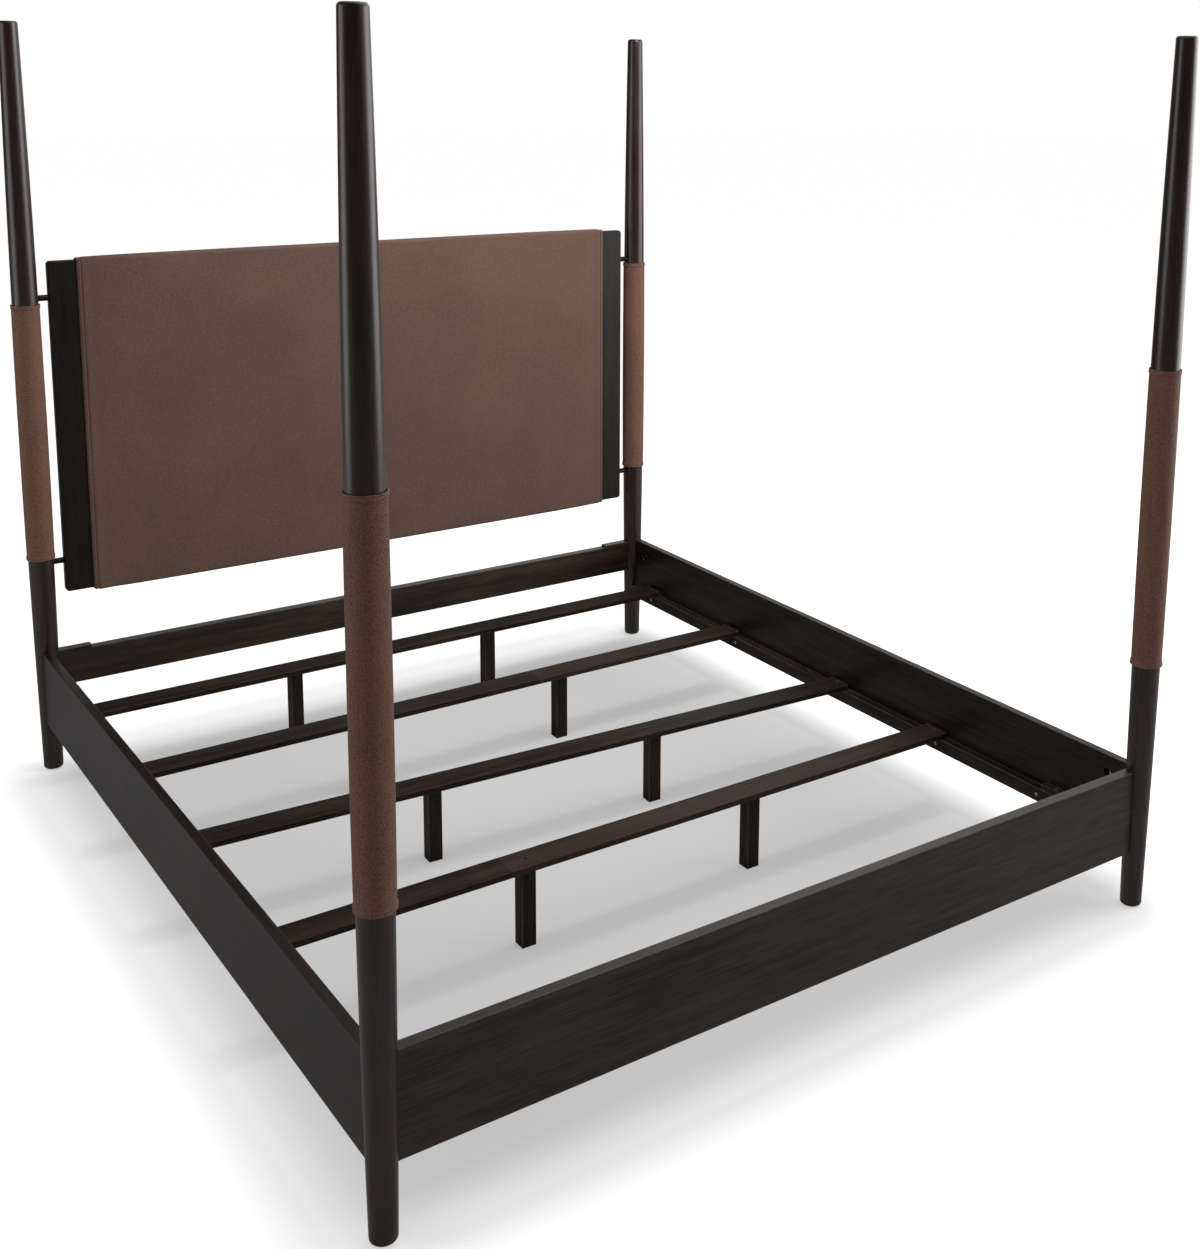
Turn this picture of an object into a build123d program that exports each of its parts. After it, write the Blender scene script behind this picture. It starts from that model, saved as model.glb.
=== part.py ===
"""Upholstered four poster bed: every piece as its own solid, in millimetres.

+Z is up, +X runs across the bed and +Y towards the headboard. The origin is on
the floor at the centre of the footprint. Sides are named as seen from the foot.
"""
from build123d import *
from math import sqrt
import os

# Overall frame, sized round a 72 by 84 inch mattress
MATTRESS_WIDTH = 1829.0
MATTRESS_LENGTH = 2134.0
MATTRESS_SIDE_GAP = 19.0
MATTRESS_FOOT_GAP = 4.0
MATTRESS_HEAD_GAP = 5.0

# Rails and their places against the post axes
SIDE_RAIL_THICKNESS = 22.0
FOOT_RAIL_THICKNESS = 26.0
CROSSRAIL_THICKNESS = 28.0
RAIL_BOTTOM = 139.0
RAIL_HEIGHT = 201.0
SIDE_RAIL_OUTSET = 6.0
FOOT_RAIL_INSET = 5.0
EASED_EDGE = 1.5
HOUSING_GAP = 0.3
SEAT_FROM_AXIS = 15.0

# Head crossrail, lower in its middle than at its ends
CROSSRAIL_ABOVE_RAIL_BOTTOM = 96.0
CROSSRAIL_MIDDLE_HEIGHT = 92.0
CROSSRAIL_END_RISE = 7.0
CROSSRAIL_END_LENGTH = 99.0

# Posts, turned with their belly behind the leather
POST_TOP = 2006.0
POST_BELLY_DIAMETER = 66.0
POST_FOOT_DIAMETER = 49.0
POST_TOP_DIAMETER = 47.0
POST_END_ROUND = 7.0
GLIDE_DIAMETER = 24.0
GLIDE_THICKNESS = 3.0

# Leather sleeves on the posts, from stand-off to stand-off
SLEEVE_THICKNESS = 2.2
SLEEVE_GAP = 0.3
HEM_WIDTH = 9.0
HEM_STAND = 0.8

# Headboard panel with its wadding and leather
PANEL_HEIGHT = 899.0
PANEL_THICKNESS = 22.0
PANEL_BOTTOM = 494.0
PANEL_CORNER = 10.0
PANEL_EDGE_ROUND = 3.0
COVER_FROM_PANEL_END = 71.5
COVER_TURN_IN = 5.0
COVER_END_DRAW = 3.0
COVER_END_TAPER = 32.0
COVER_GAP = 0.3
WADDING_THICKNESS = 4.5
LEATHER_THICKNESS = 2.2
COVER_EDGE_ROUND = 2.0
COVER_FOLD_ROUND = 6.0

# Stand-offs between the panel and the head posts
STANDOFF_DIAMETER = 16.0
STANDOFF_LENGTH = 28.0
STANDOFF_SINK = 4.0
STANDOFF_SLEEVE_CLEAR = 6.0
STANDOFF_ABOVE_PANEL_BOTTOM = 88.0
STANDOFF_BELOW_PANEL_TOP = 96.0
STANDOFF_STUD_DIAMETER = 8.0
STANDOFF_STUD_IN_PANEL = 40.0
STANDOFF_STUD_IN_POST = 30.0

# Ledgers, slats, packers and support legs
LEDGER_THICKNESS = 25.0
LEDGER_HEIGHT = 34.0
LEDGER_ABOVE_RAIL_BOTTOM = 15.0
LEDGER_HEAD_CLEAR = 48.0
LEDGER_FOOT_CLEAR = 40.0
SLAT_WIDTH = 75.0
SLAT_THICKNESS = 15.0
SLAT_END_GAP = 5.0
SLAT_FROM_CROSSRAIL = 135.5
PACKER_FROM_FOOT_RAIL = 211.5
SLAT_OFFSETS = (0.0, 5.0, -19.0, -19.0)
SLAT_DRIFTS = (0.0, 0.0, -0.055, 0.0)
LEG_SIDE = 34.0
LEG_FROM_CENTRE = 309.0

# Screws, studs, nuts and dowels
SCREW_SHANK_DIAMETER = 4.5
SCREW_HEAD_DIAMETER = 9.0
SCREW_HEAD_DEPTH = 2.4
SCREW_POINT = 5.0
SCREW_SOCKET = 2.8
SCREW_SOCKET_DEPTH = 1.6
SCREW_GAP = 0.1
SLAT_SCREW_LENGTH = 36.0
SLAT_SCREW_INSET = 15.0
LEG_SCREW_LENGTH = 60.0
LEDGER_SCREW_LENGTH = 38.0
LEDGER_SCREW_SHIFTS = (-13.0, -44.0, -31.0, -17.0)
LEDGER_PACKER_SCREW_SHIFT = 53.0
LEDGER_END_SCREW_INSET = 37.5
STUD_DIAMETER = 6.0
STUD_GAP = 0.15
STUD_IN_POST = 30.0
POCKET_FROM_SEAT = 73.0
POCKET_DIAMETER = 24.0
POCKET_FLOOR_CLEAR = 0.5
WASHER_FLAT = 8.0
WASHER_WIDTH = 11.0
WASHER_GAP = 0.2
NUT_ACROSS_FLATS = 10.0
NUT_THICKNESS = 5.0
DOWEL_DIAMETER = 10.0
DOWEL_LENGTH = 40.0
DOWEL_GAP = 0.1
DOWEL_END_GAP = 1.0

# Heights of the studs and dowels above the bottom of their own rail
SIDE_STUD_RISE = 157.0
SIDE_DOWEL_RISES = (36.0, 96.0)
FOOT_STUD_RISE = 126.0
FOOT_DOWEL_RISES = (16.0, 66.0)
HEAD_STUD_RISE = 37.0
HEAD_DOWEL_RISES = (15.0, 81.0)

# Places that follow from the sizes above
RAIL_INNER_X = MATTRESS_WIDTH / 2 + MATTRESS_SIDE_GAP
SIDE_RAIL_X = RAIL_INNER_X + SIDE_RAIL_THICKNESS / 2
POST_X = SIDE_RAIL_X - SIDE_RAIL_OUTSET
MATTRESS_SPACE = MATTRESS_LENGTH + MATTRESS_FOOT_GAP + MATTRESS_HEAD_GAP
POST_Y = (MATTRESS_SPACE + CROSSRAIL_THICKNESS / 2 + FOOT_RAIL_THICKNESS / 2 + FOOT_RAIL_INSET) / 2
FOOT_RAIL_Y = -POST_Y + FOOT_RAIL_INSET
FOOT_RAIL_INNER_Y = FOOT_RAIL_Y + FOOT_RAIL_THICKNESS / 2
CROSSRAIL_INNER_Y = POST_Y - CROSSRAIL_THICKNESS / 2
RAIL_TOP = RAIL_BOTTOM + RAIL_HEIGHT
CROSSRAIL_BOTTOM = RAIL_BOTTOM + CROSSRAIL_ABOVE_RAIL_BOTTOM
CROSSRAIL_TOP = CROSSRAIL_BOTTOM + CROSSRAIL_MIDDLE_HEIGHT + CROSSRAIL_END_RISE
STANDOFF_SEAT_X = POST_X - POST_BELLY_DIAMETER / 2 + STANDOFF_SINK
PANEL_WIDTH = 2 * (STANDOFF_SEAT_X - STANDOFF_LENGTH)
COVER_WIDTH = PANEL_WIDTH - 2 * COVER_FROM_PANEL_END
PANEL_MIDDLE_Z = PANEL_BOTTOM + PANEL_HEIGHT / 2
STANDOFF_HEIGHTS = (
    PANEL_BOTTOM + STANDOFF_ABOVE_PANEL_BOTTOM,
    PANEL_BOTTOM + PANEL_HEIGHT - STANDOFF_BELOW_PANEL_TOP,
)
SLEEVE_BOTTOM = STANDOFF_HEIGHTS[0] + STANDOFF_DIAMETER / 2 + STANDOFF_SLEEVE_CLEAR
SLEEVE_TOP = STANDOFF_HEIGHTS[1] - STANDOFF_DIAMETER / 2 - STANDOFF_SLEEVE_CLEAR
POST_BELLY_Z = (SLEEVE_BOTTOM + SLEEVE_TOP) / 2
LEDGER_BOTTOM = RAIL_BOTTOM + LEDGER_ABOVE_RAIL_BOTTOM
LEDGER_TOP = LEDGER_BOTTOM + LEDGER_HEIGHT
LEDGER_MIDDLE_Z = LEDGER_BOTTOM + LEDGER_HEIGHT / 2
LEDGER_FACE_X = RAIL_INNER_X - LEDGER_THICKNESS
LEDGER_FOOT_END = -POST_Y + LEDGER_FOOT_CLEAR
SLAT_TOP = LEDGER_TOP + SLAT_THICKNESS
SLAT_HALF = RAIL_INNER_X - SLAT_END_GAP
SLAT_SCREW_X = RAIL_INNER_X - SLAT_SCREW_INSET
FIRST_SLAT_Y = CROSSRAIL_INNER_Y - SLAT_FROM_CROSSRAIL
PACKER_CENTRE = FOOT_RAIL_INNER_Y + PACKER_FROM_FOOT_RAIL
SLAT_PITCH = (FIRST_SLAT_Y - PACKER_CENTRE) / len(SLAT_OFFSETS)
SLAT_CENTRES = [FIRST_SLAT_Y - index * SLAT_PITCH + offset for index, offset in enumerate(SLAT_OFFSETS)]
LEDGER_SCREW_SPOTS = [centre + shift for centre, shift in zip(SLAT_CENTRES, LEDGER_SCREW_SHIFTS)]
LEDGER_SCREW_SPOTS += [PACKER_CENTRE + LEDGER_PACKER_SCREW_SHIFT, LEDGER_FOOT_END + LEDGER_END_SCREW_INSET]
NUT_CORNER_RADIUS = NUT_ACROSS_FLATS / sqrt(3)
SEAT_X = POST_X - SEAT_FROM_AXIS
SEAT_Y = POST_Y - SEAT_FROM_AXIS
SIDES = (("left", -1), ("right", 1))

os.makedirs("parts", exist_ok=True)


def save(piece, label):
    """Name one finished piece and write it as its own file."""
    piece.label = label
    export_step(piece, f"parts/{label}.step")


def upright_plane(x, y, z=0.0, sideways=(1, 0)):
    """Plane through a vertical axis: local X runs sideways, local Y runs up."""
    ox, oy = sideways
    return Plane(origin=(x, y, z), x_dir=(ox, oy, 0), z_dir=(oy, -ox, 0))


def facing(origin, direction):
    """Plane whose normal points along direction, for round and square sections."""
    across = (0, 1, 0) if direction[2] else (0, 0, 1)
    return Plane(origin=origin, x_dir=across, z_dir=direction)


def bore(origin, direction, diameter, depth):
    """Cut a round hole that starts at origin and runs along direction."""
    with BuildSketch(facing(origin, direction)) as outline:
        Circle(diameter / 2)
    extrude(outline.sketch, amount=depth, mode=Mode.SUBTRACT)


def rod(origin, direction, diameter, length):
    """Add a round bar that starts at origin and runs along direction."""
    with BuildSketch(facing(origin, direction)) as outline:
        Circle(diameter / 2)
    extrude(outline.sketch, amount=length)


def block(low, high, mode=Mode.ADD):
    """Add or cut a box given by its two opposite corners."""
    middle = ((low[0] + high[0]) / 2, (low[1] + high[1]) / 2, low[2])
    with BuildSketch(Plane(origin=middle)) as outline:
        Rectangle(high[0] - low[0], high[1] - low[1])
    extrude(outline.sketch, amount=high[2] - low[2], mode=mode)


def screw_profile_plane(origin, direction):
    """Plane holding a screw's axis: local Y runs along the screw."""
    across = (0, 1, 0) if direction[0] else (1, 0, 0)
    normal = Vector(*across).cross(Vector(*direction))
    return Plane(origin=origin, x_dir=across, z_dir=normal)


def screw_half(length, gap=0.0):
    """Half outline of a countersunk screw, grown by gap to cut its hole."""
    shank = SCREW_SHANK_DIAMETER / 2 + gap
    head = SCREW_HEAD_DIAMETER / 2 + gap
    Polyline(
        (0, 0), (head, 0), (shank, SCREW_HEAD_DEPTH), (shank, length - SCREW_POINT + gap),
        (0, length + gap), close=True,
    )


def add_screw(origin, direction, length):
    """Add one countersunk wood screw with a square socket in its head."""
    with BuildSketch(screw_profile_plane(origin, direction)) as half_section:
        with BuildLine():
            screw_half(length)
        make_face()
    revolve(half_section.sketch, axis=Axis(origin, direction))
    with BuildSketch(facing(origin, direction)) as socket:
        Rectangle(SCREW_SOCKET, SCREW_SOCKET)
    extrude(socket.sketch, amount=SCREW_SOCKET_DEPTH, mode=Mode.SUBTRACT)


def cut_screw(origin, direction, length):
    """Cut the countersink and pilot hole that one screw needs."""
    with BuildSketch(screw_profile_plane(origin, direction)) as half_section:
        with BuildLine():
            screw_half(length, SCREW_GAP)
        make_face()
    revolve(half_section.sketch, axis=Axis(origin, direction), mode=Mode.SUBTRACT)


def post_radius(z):
    """Radius of the turned post at a height above the floor."""
    belly = POST_BELLY_DIAMETER / 2
    if z < POST_BELLY_Z:
        end, reach = POST_FOOT_DIAMETER / 2, POST_BELLY_Z - GLIDE_THICKNESS
    else:
        end, reach = POST_TOP_DIAMETER / 2, POST_TOP - POST_BELLY_Z
    return belly - (belly - end) * ((z - POST_BELLY_Z) / reach) ** 2


def off_post(z, stand=0.0):
    """Point at a height in a post's half section, this far out from the wood."""
    return (post_radius(z) + stand, z)


def belly_curve(z_end, stand=0.0):
    """Parabola of the post's side from a height to its belly, this far out from the wood."""
    control = (post_radius(POST_BELLY_Z) + stand, (z_end + POST_BELLY_Z) / 2)
    Bezier(off_post(z_end, stand), control, off_post(POST_BELLY_Z, stand))


def rail_joint(seat, inwards, rail_bottom, stud_rise, dowel_rises):
    """One rail joint: its seat on a post, the way into the rail, and its stud's and dowels' heights."""
    return seat, inwards, rail_bottom + stud_rise, [rail_bottom + rise for rise in dowel_rises]


def rail_joints():
    """Every rail joint of the frame, four on each side."""
    joints = []
    for _, sx in SIDES:
        for sy in (-1, 1):
            seat, inwards = (sx * SIDE_RAIL_X, sy * SEAT_Y), (0, -sy, 0)
            joints.append(rail_joint(seat, inwards, RAIL_BOTTOM, SIDE_STUD_RISE, SIDE_DOWEL_RISES))
        seat, inwards = (sx * SEAT_X, FOOT_RAIL_Y), (-sx, 0, 0)
        joints.append(rail_joint(seat, inwards, RAIL_BOTTOM, FOOT_STUD_RISE, FOOT_DOWEL_RISES))
        seat = (sx * SEAT_X, POST_Y)
        joints.append(rail_joint(seat, inwards, CROSSRAIL_BOTTOM, HEAD_STUD_RISE, HEAD_DOWEL_RISES))
    return joints


def cut_joint_holes(joint):
    """Cut one joint's stud and dowel holes through whatever stands there."""
    (x, y), (dx, dy, _), stud_z, dowel_heights = joint
    stud_length = STUD_IN_POST + POCKET_FROM_SEAT
    start = (x - dx * (STUD_IN_POST + STUD_GAP), y - dy * (STUD_IN_POST + STUD_GAP), stud_z)
    bore(start, (dx, dy, 0), STUD_DIAMETER + 2 * STUD_GAP, stud_length + 2 * STUD_GAP)
    reach = DOWEL_LENGTH / 2 + DOWEL_END_GAP
    for z in dowel_heights:
        start = (x - dx * reach, y - dy * reach, z)
        bore(start, (dx, dy, 0), DOWEL_DIAMETER + 2 * DOWEL_GAP, 2 * reach)


def cut_pocket(joint, thickness, open_side):
    """Cut the round nut pocket into a rail from the side that open_side points to."""
    (x, y), (dx, dy, _), stud_z, _ = joint
    depth = thickness / 2 + NUT_CORNER_RADIUS + POCKET_FLOOR_CLEAR
    ox, oy = open_side
    face_x = x + dx * POCKET_FROM_SEAT + ox * thickness / 2
    face_y = y + dy * POCKET_FROM_SEAT + oy * thickness / 2
    bore((face_x, face_y, stud_z), (-ox, -oy, 0), POCKET_DIAMETER, depth)


def cut_standoff_seat(seat, direction):
    """Cut the sunk seat of one stand-off and the hole behind it for its stud."""
    wide = STANDOFF_DIAMETER / 2 + STUD_GAP
    narrow = STANDOFF_STUD_DIAMETER / 2 + STUD_GAP
    depth = STANDOFF_STUD_IN_POST + STUD_GAP
    outside = -POST_BELLY_DIAMETER
    with BuildSketch(screw_profile_plane(seat, direction)) as half_section:
        with BuildLine():
            Polyline(
                (0, outside), (wide, outside), (wide, 0), (narrow, 0), (narrow, depth), (0, depth),
                close=True,
            )
        make_face()
    revolve(half_section.sketch, axis=Axis(seat, direction), mode=Mode.SUBTRACT)


# Posts, turned from a half section that faces away from every joint
for end, sy in (("front", -1), ("head", 1)):
    for side, sx in SIDES:
        px, py = sx * POST_X, sy * POST_Y
        with BuildPart() as post:
            with BuildSketch(upright_plane(px, py, sideways=(sx, sy))) as half_section:
                with BuildLine():
                    belly_curve(GLIDE_THICKNESS)
                    belly_curve(POST_TOP)
                    Polyline(
                        off_post(POST_TOP), (0, POST_TOP),
                        (0, GLIDE_THICKNESS), off_post(GLIDE_THICKNESS),
                    )
                make_face()
                rims = half_section.vertices().group_by(Axis.Y)
                fillet([rims[0].sort_by(Axis.X)[-1], rims[-1].sort_by(Axis.X)[-1]], POST_END_ROUND)
            revolve(axis=Axis((px, py, 0), (0, 0, 1)))
            # Housing for the side rail
            half = SIDE_RAIL_THICKNESS / 2 + HOUSING_GAP
            y_ends = sorted((sy * SEAT_Y, sy * (SEAT_Y - POST_BELLY_DIAMETER)))
            block(
                (sx * SIDE_RAIL_X - half, y_ends[0], RAIL_BOTTOM - HOUSING_GAP),
                (sx * SIDE_RAIL_X + half, y_ends[1], RAIL_TOP + HOUSING_GAP),
                Mode.SUBTRACT,
            )
            # Housing for the foot rail or the head crossrail
            if end == "front":
                centre, thickness, low, high = FOOT_RAIL_Y, FOOT_RAIL_THICKNESS, RAIL_BOTTOM, RAIL_TOP
            else:
                centre, thickness, low, high = POST_Y, CROSSRAIL_THICKNESS, CROSSRAIL_BOTTOM, CROSSRAIL_TOP
            half = thickness / 2 + HOUSING_GAP
            x_ends = sorted((sx * SEAT_X, sx * (SEAT_X - POST_BELLY_DIAMETER)))
            block(
                (x_ends[0], centre - half, low - HOUSING_GAP),
                (x_ends[1], centre + half, high + HOUSING_GAP),
                Mode.SUBTRACT,
            )
            for joint in rail_joints():
                if (joint[0][0] - px) ** 2 + (joint[0][1] - py) ** 2 < POST_BELLY_DIAMETER ** 2:
                    cut_joint_holes(joint)
            if end == "head":
                for z in STANDOFF_HEIGHTS:
                    cut_standoff_seat((sx * STANDOFF_SEAT_X, py, z), (sx, 0, 0))
        save(post.part, f"post_{end}_{side}")

# Leather sleeves, one on each post, with a hem standing proud at both ends
for end, sy in (("front", -1), ("head", 1)):
    for side, sx in SIDES:
        px, py = sx * POST_X, sy * POST_Y
        outer = SLEEVE_GAP + SLEEVE_THICKNESS
        hem = outer + HEM_STAND
        low_in, high_in = SLEEVE_BOTTOM + HEM_WIDTH, SLEEVE_TOP - HEM_WIDTH
        with BuildPart() as sleeve:
            with BuildSketch(upright_plane(px, py)):
                with BuildLine():
                    belly_curve(SLEEVE_BOTTOM, SLEEVE_GAP)
                    belly_curve(SLEEVE_TOP, SLEEVE_GAP)
                    Polyline(
                        off_post(SLEEVE_TOP, SLEEVE_GAP), off_post(SLEEVE_TOP, hem),
                        off_post(high_in, hem), off_post(high_in, outer),
                    )
                    belly_curve(high_in, outer)
                    belly_curve(low_in, outer)
                    Polyline(
                        off_post(low_in, outer), off_post(low_in, hem),
                        off_post(SLEEVE_BOTTOM, hem), off_post(SLEEVE_BOTTOM, SLEEVE_GAP),
                    )
                make_face()
            revolve(axis=Axis((px, py, 0), (0, 0, 1)))
        save(sleeve.part, f"post_sleeve_{end}_{side}")

# Glides under the posts
with BuildPart() as glides:
    for sx in (-1, 1):
        for sy in (-1, 1):
            rod((sx * POST_X, sy * POST_Y, 0), (0, 0, 1), GLIDE_DIAMETER, GLIDE_THICKNESS)
save(glides.part, "post_glides")

# Side rails with nut pockets opening inwards and pilot holes for the ledger screws
for side, sx in SIDES:
    x_faces = sorted((sx * RAIL_INNER_X, sx * (RAIL_INNER_X + SIDE_RAIL_THICKNESS)))
    with BuildPart() as side_rail:
        block((x_faces[0], -SEAT_Y, RAIL_BOTTOM), (x_faces[1], SEAT_Y, RAIL_TOP))
        fillet(side_rail.edges().filter_by(Axis.Y), EASED_EDGE)
        for joint in rail_joints():
            if joint[1][1] and joint[0][0] * sx > 0:
                cut_joint_holes(joint)
                cut_pocket(joint, SIDE_RAIL_THICKNESS, (-sx, 0))
        for y in LEDGER_SCREW_SPOTS:
            cut_screw((sx * LEDGER_FACE_X, y, LEDGER_MIDDLE_Z), (sx, 0, 0), LEDGER_SCREW_LENGTH)
    save(side_rail.part, f"side_rail_{side}")

# Foot rail with nut pockets on its inner face
with BuildPart() as foot_rail:
    block(
        (-SEAT_X, FOOT_RAIL_Y - FOOT_RAIL_THICKNESS / 2, RAIL_BOTTOM),
        (SEAT_X, FOOT_RAIL_Y + FOOT_RAIL_THICKNESS / 2, RAIL_TOP),
    )
    fillet(foot_rail.edges().filter_by(Axis.X), EASED_EDGE)
    for joint in rail_joints():
        if joint[0][1] == FOOT_RAIL_Y:
            cut_joint_holes(joint)
            cut_pocket(joint, FOOT_RAIL_THICKNESS, (0, 1))
save(foot_rail.part, "foot_rail")

# Head crossrail, its top lowered between two raised ends, pockets at the back
middle_half = SEAT_X - CROSSRAIL_END_LENGTH
with BuildPart() as head_crossrail:
    block(
        (-SEAT_X, CROSSRAIL_INNER_Y, CROSSRAIL_BOTTOM),
        (SEAT_X, POST_Y + CROSSRAIL_THICKNESS / 2, CROSSRAIL_TOP),
    )
    block(
        (-middle_half, POST_Y - CROSSRAIL_THICKNESS, CROSSRAIL_TOP - CROSSRAIL_END_RISE),
        (middle_half, POST_Y + CROSSRAIL_THICKNESS, CROSSRAIL_TOP + CROSSRAIL_END_RISE),
        Mode.SUBTRACT,
    )
    fillet(head_crossrail.edges().filter_by(Axis.X), EASED_EDGE)
    for joint in rail_joints():
        if joint[0][1] == POST_Y:
            cut_joint_holes(joint)
            cut_pocket(joint, CROSSRAIL_THICKNESS, (0, 1))
save(head_crossrail.part, "head_crossrail")

# Studs, washers, nuts and dowels of the eight rail joints
with BuildPart() as rail_studs:
    for (x, y), (dx, dy, _), z, _ in rail_joints():
        start = (x - dx * STUD_IN_POST, y - dy * STUD_IN_POST, z)
        rod(start, (dx, dy, 0), STUD_DIAMETER, STUD_IN_POST + POCKET_FROM_SEAT)
save(rail_studs.part, "rail_studs")

with BuildPart() as rail_washers:
    for (x, y), (dx, dy, _), z, _ in rail_joints():
        wx, wy = x + dx * POCKET_FROM_SEAT, y + dy * POCKET_FROM_SEAT
        across = (abs(dy), abs(dx), 0)
        radius = POCKET_DIAMETER / 2 - WASHER_GAP
        base = (wx - across[0] * WASHER_WIDTH / 2, wy - across[1] * WASHER_WIDTH / 2, z)
        plane = Plane(origin=base, x_dir=(-dx, -dy, 0), z_dir=across)
        with BuildSketch(plane):
            Circle(radius)
            with Locations((WASHER_FLAT - POCKET_DIAMETER / 2, 0)):
                Rectangle(POCKET_DIAMETER, POCKET_DIAMETER, mode=Mode.SUBTRACT)
        extrude(amount=WASHER_WIDTH)
        bore((wx, wy, z), (-dx, -dy, 0), STUD_DIAMETER + 2 * STUD_GAP, POCKET_DIAMETER)
save(rail_washers.part, "rail_washers")

with BuildPart() as rail_nuts:
    for (x, y), (dx, dy, _), z, _ in rail_joints():
        reach = POCKET_FROM_SEAT - WASHER_FLAT
        seat = (x + dx * reach, y + dy * reach, z)
        with BuildSketch(facing(seat, (dx, dy, 0))):
            RegularPolygon(NUT_ACROSS_FLATS / 2, 6, major_radius=False)
            Circle(STUD_DIAMETER / 2 + STUD_GAP, mode=Mode.SUBTRACT)
        extrude(amount=NUT_THICKNESS)
save(rail_nuts.part, "rail_nuts")

with BuildPart() as rail_dowels:
    for (x, y), (dx, dy, _), _, dowel_heights in rail_joints():
        for z in dowel_heights:
            start = (x - dx * DOWEL_LENGTH / 2, y - dy * DOWEL_LENGTH / 2, z)
            rod(start, (dx, dy, 0), DOWEL_DIAMETER, DOWEL_LENGTH)
save(rail_dowels.part, "rail_dowels")

# Headboard panel, bored in its ends for the stand-off studs
with BuildPart() as headboard_panel:
    with BuildSketch(upright_plane(0, POST_Y + PANEL_THICKNESS / 2, PANEL_MIDDLE_Z)):
        RectangleRounded(PANEL_WIDTH, PANEL_HEIGHT, PANEL_CORNER)
    extrude(amount=PANEL_THICKNESS)
    fillet(headboard_panel.faces().filter_by(Axis.Y).edges(), PANEL_EDGE_ROUND)
    for _, sx in SIDES:
        for z in STANDOFF_HEIGHTS:
            end_point = (sx * PANEL_WIDTH / 2, POST_Y, z)
            depth = STANDOFF_STUD_IN_PANEL + STUD_GAP
            bore(end_point, (-sx, 0, 0), STANDOFF_STUD_DIAMETER + 2 * STUD_GAP, depth)
save(headboard_panel.part, "headboard_panel")


def end_draw(from_end):
    """How far the padding is drawn in at a distance from the cover's end."""
    return COVER_END_DRAW * max(0.0, 1 - from_end / COVER_END_TAPER) ** 2


def pad_section(x, offset, corner):
    """Section across the headboard at x: the panel's outline grown by offset."""
    plane = Plane(origin=(x, POST_Y, PANEL_MIDDLE_Z), x_dir=(0, 1, 0), z_dir=(1, 0, 0))
    with BuildSketch(plane) as section:
        RectangleRounded(PANEL_THICKNESS + 2 * offset, PANEL_HEIGHT + 2 * offset, corner)
    return section.sketch


def wrap(half, offset, corner, mode=Mode.ADD):
    """Add or cut a pad round the panel, half to each side, drawn in towards its ends."""
    reach = COVER_WIDTH / 2
    steps = [reach - half] + [COVER_END_TAPER * share for share in (0.25, 0.5, 1.0)]
    left = [(from_end - reach, offset - end_draw(from_end)) for from_end in steps]
    stations = left + [(-x, size) for x, size in reversed(left)]
    loft([pad_section(x, size, corner) for x, size in stations], ruled=True, mode=mode)


def clear_panel(half):
    """Cut the panel's own space, with its clearance, out of a pad."""
    section = pad_section(-half, COVER_GAP, PANEL_EDGE_ROUND + COVER_GAP)
    extrude(section, amount=2 * half, mode=Mode.SUBTRACT)


# Wadding wrapped round the panel under the leather
wadding_half = COVER_WIDTH / 2 - COVER_TURN_IN
wadding_outer = COVER_GAP + WADDING_THICKNESS
with BuildPart() as headboard_wadding:
    wrap(wadding_half, wadding_outer, COVER_FOLD_ROUND)
    clear_panel(wadding_half)
save(headboard_wadding.part, "headboard_wadding")

# Leather cover round the wadding, turned in at both sides down to the wood
leather_inner = wadding_outer + COVER_GAP
leather_outer = leather_inner + LEATHER_THICKNESS
with BuildPart() as headboard_cover:
    wrap(COVER_WIDTH / 2, leather_outer, COVER_FOLD_ROUND + LEATHER_THICKNESS)
    end_faces = [headboard_cover.faces().sort_by(Axis.X)[end] for end in (0, -1)]
    fillet([edge for face in end_faces for edge in face.edges()], COVER_EDGE_ROUND)
    wrap(wadding_half + COVER_GAP, leather_inner, COVER_FOLD_ROUND + COVER_GAP, Mode.SUBTRACT)
    clear_panel(COVER_WIDTH / 2)
save(headboard_cover.part, "headboard_cover")

# Stand-offs and the studs through them
with BuildPart() as headboard_standoffs:
    for _, sx in SIDES:
        for z in STANDOFF_HEIGHTS:
            start = (sx * PANEL_WIDTH / 2, POST_Y, z)
            rod(start, (sx, 0, 0), STANDOFF_DIAMETER, STANDOFF_LENGTH)
            bore(start, (sx, 0, 0), STANDOFF_STUD_DIAMETER + 2 * STUD_GAP, STANDOFF_LENGTH)
save(headboard_standoffs.part, "headboard_standoffs")

with BuildPart() as standoff_studs:
    for _, sx in SIDES:
        for z in STANDOFF_HEIGHTS:
            start = (sx * (PANEL_WIDTH / 2 - STANDOFF_STUD_IN_PANEL), POST_Y, z)
            length = STANDOFF_STUD_IN_PANEL + STANDOFF_LENGTH + STANDOFF_STUD_IN_POST
            rod(start, (sx, 0, 0), STANDOFF_STUD_DIAMETER, length)
save(standoff_studs.part, "standoff_studs")


def slat_plane(index, z):
    """Plane on one slat's centre line: local X runs along the slat."""
    drift = SLAT_DRIFTS[index]
    return Plane(origin=(0, SLAT_CENTRES[index], z), x_dir=(1, drift, 0), z_dir=(0, 0, 1))


def slat_point(index, along, z):
    """Point on one slat's centre line, given its distance along the slat."""
    return tuple(slat_plane(index, z).from_local_coords((along, 0, 0)))


def slat_spots(reach):
    """Points on the slats' tops, this far to the left and right of their middles."""
    spots = []
    for index in range(len(SLAT_CENTRES)):
        for _, sx in SIDES:
            spots.append(slat_point(index, sx * reach, SLAT_TOP))
    return spots


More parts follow.
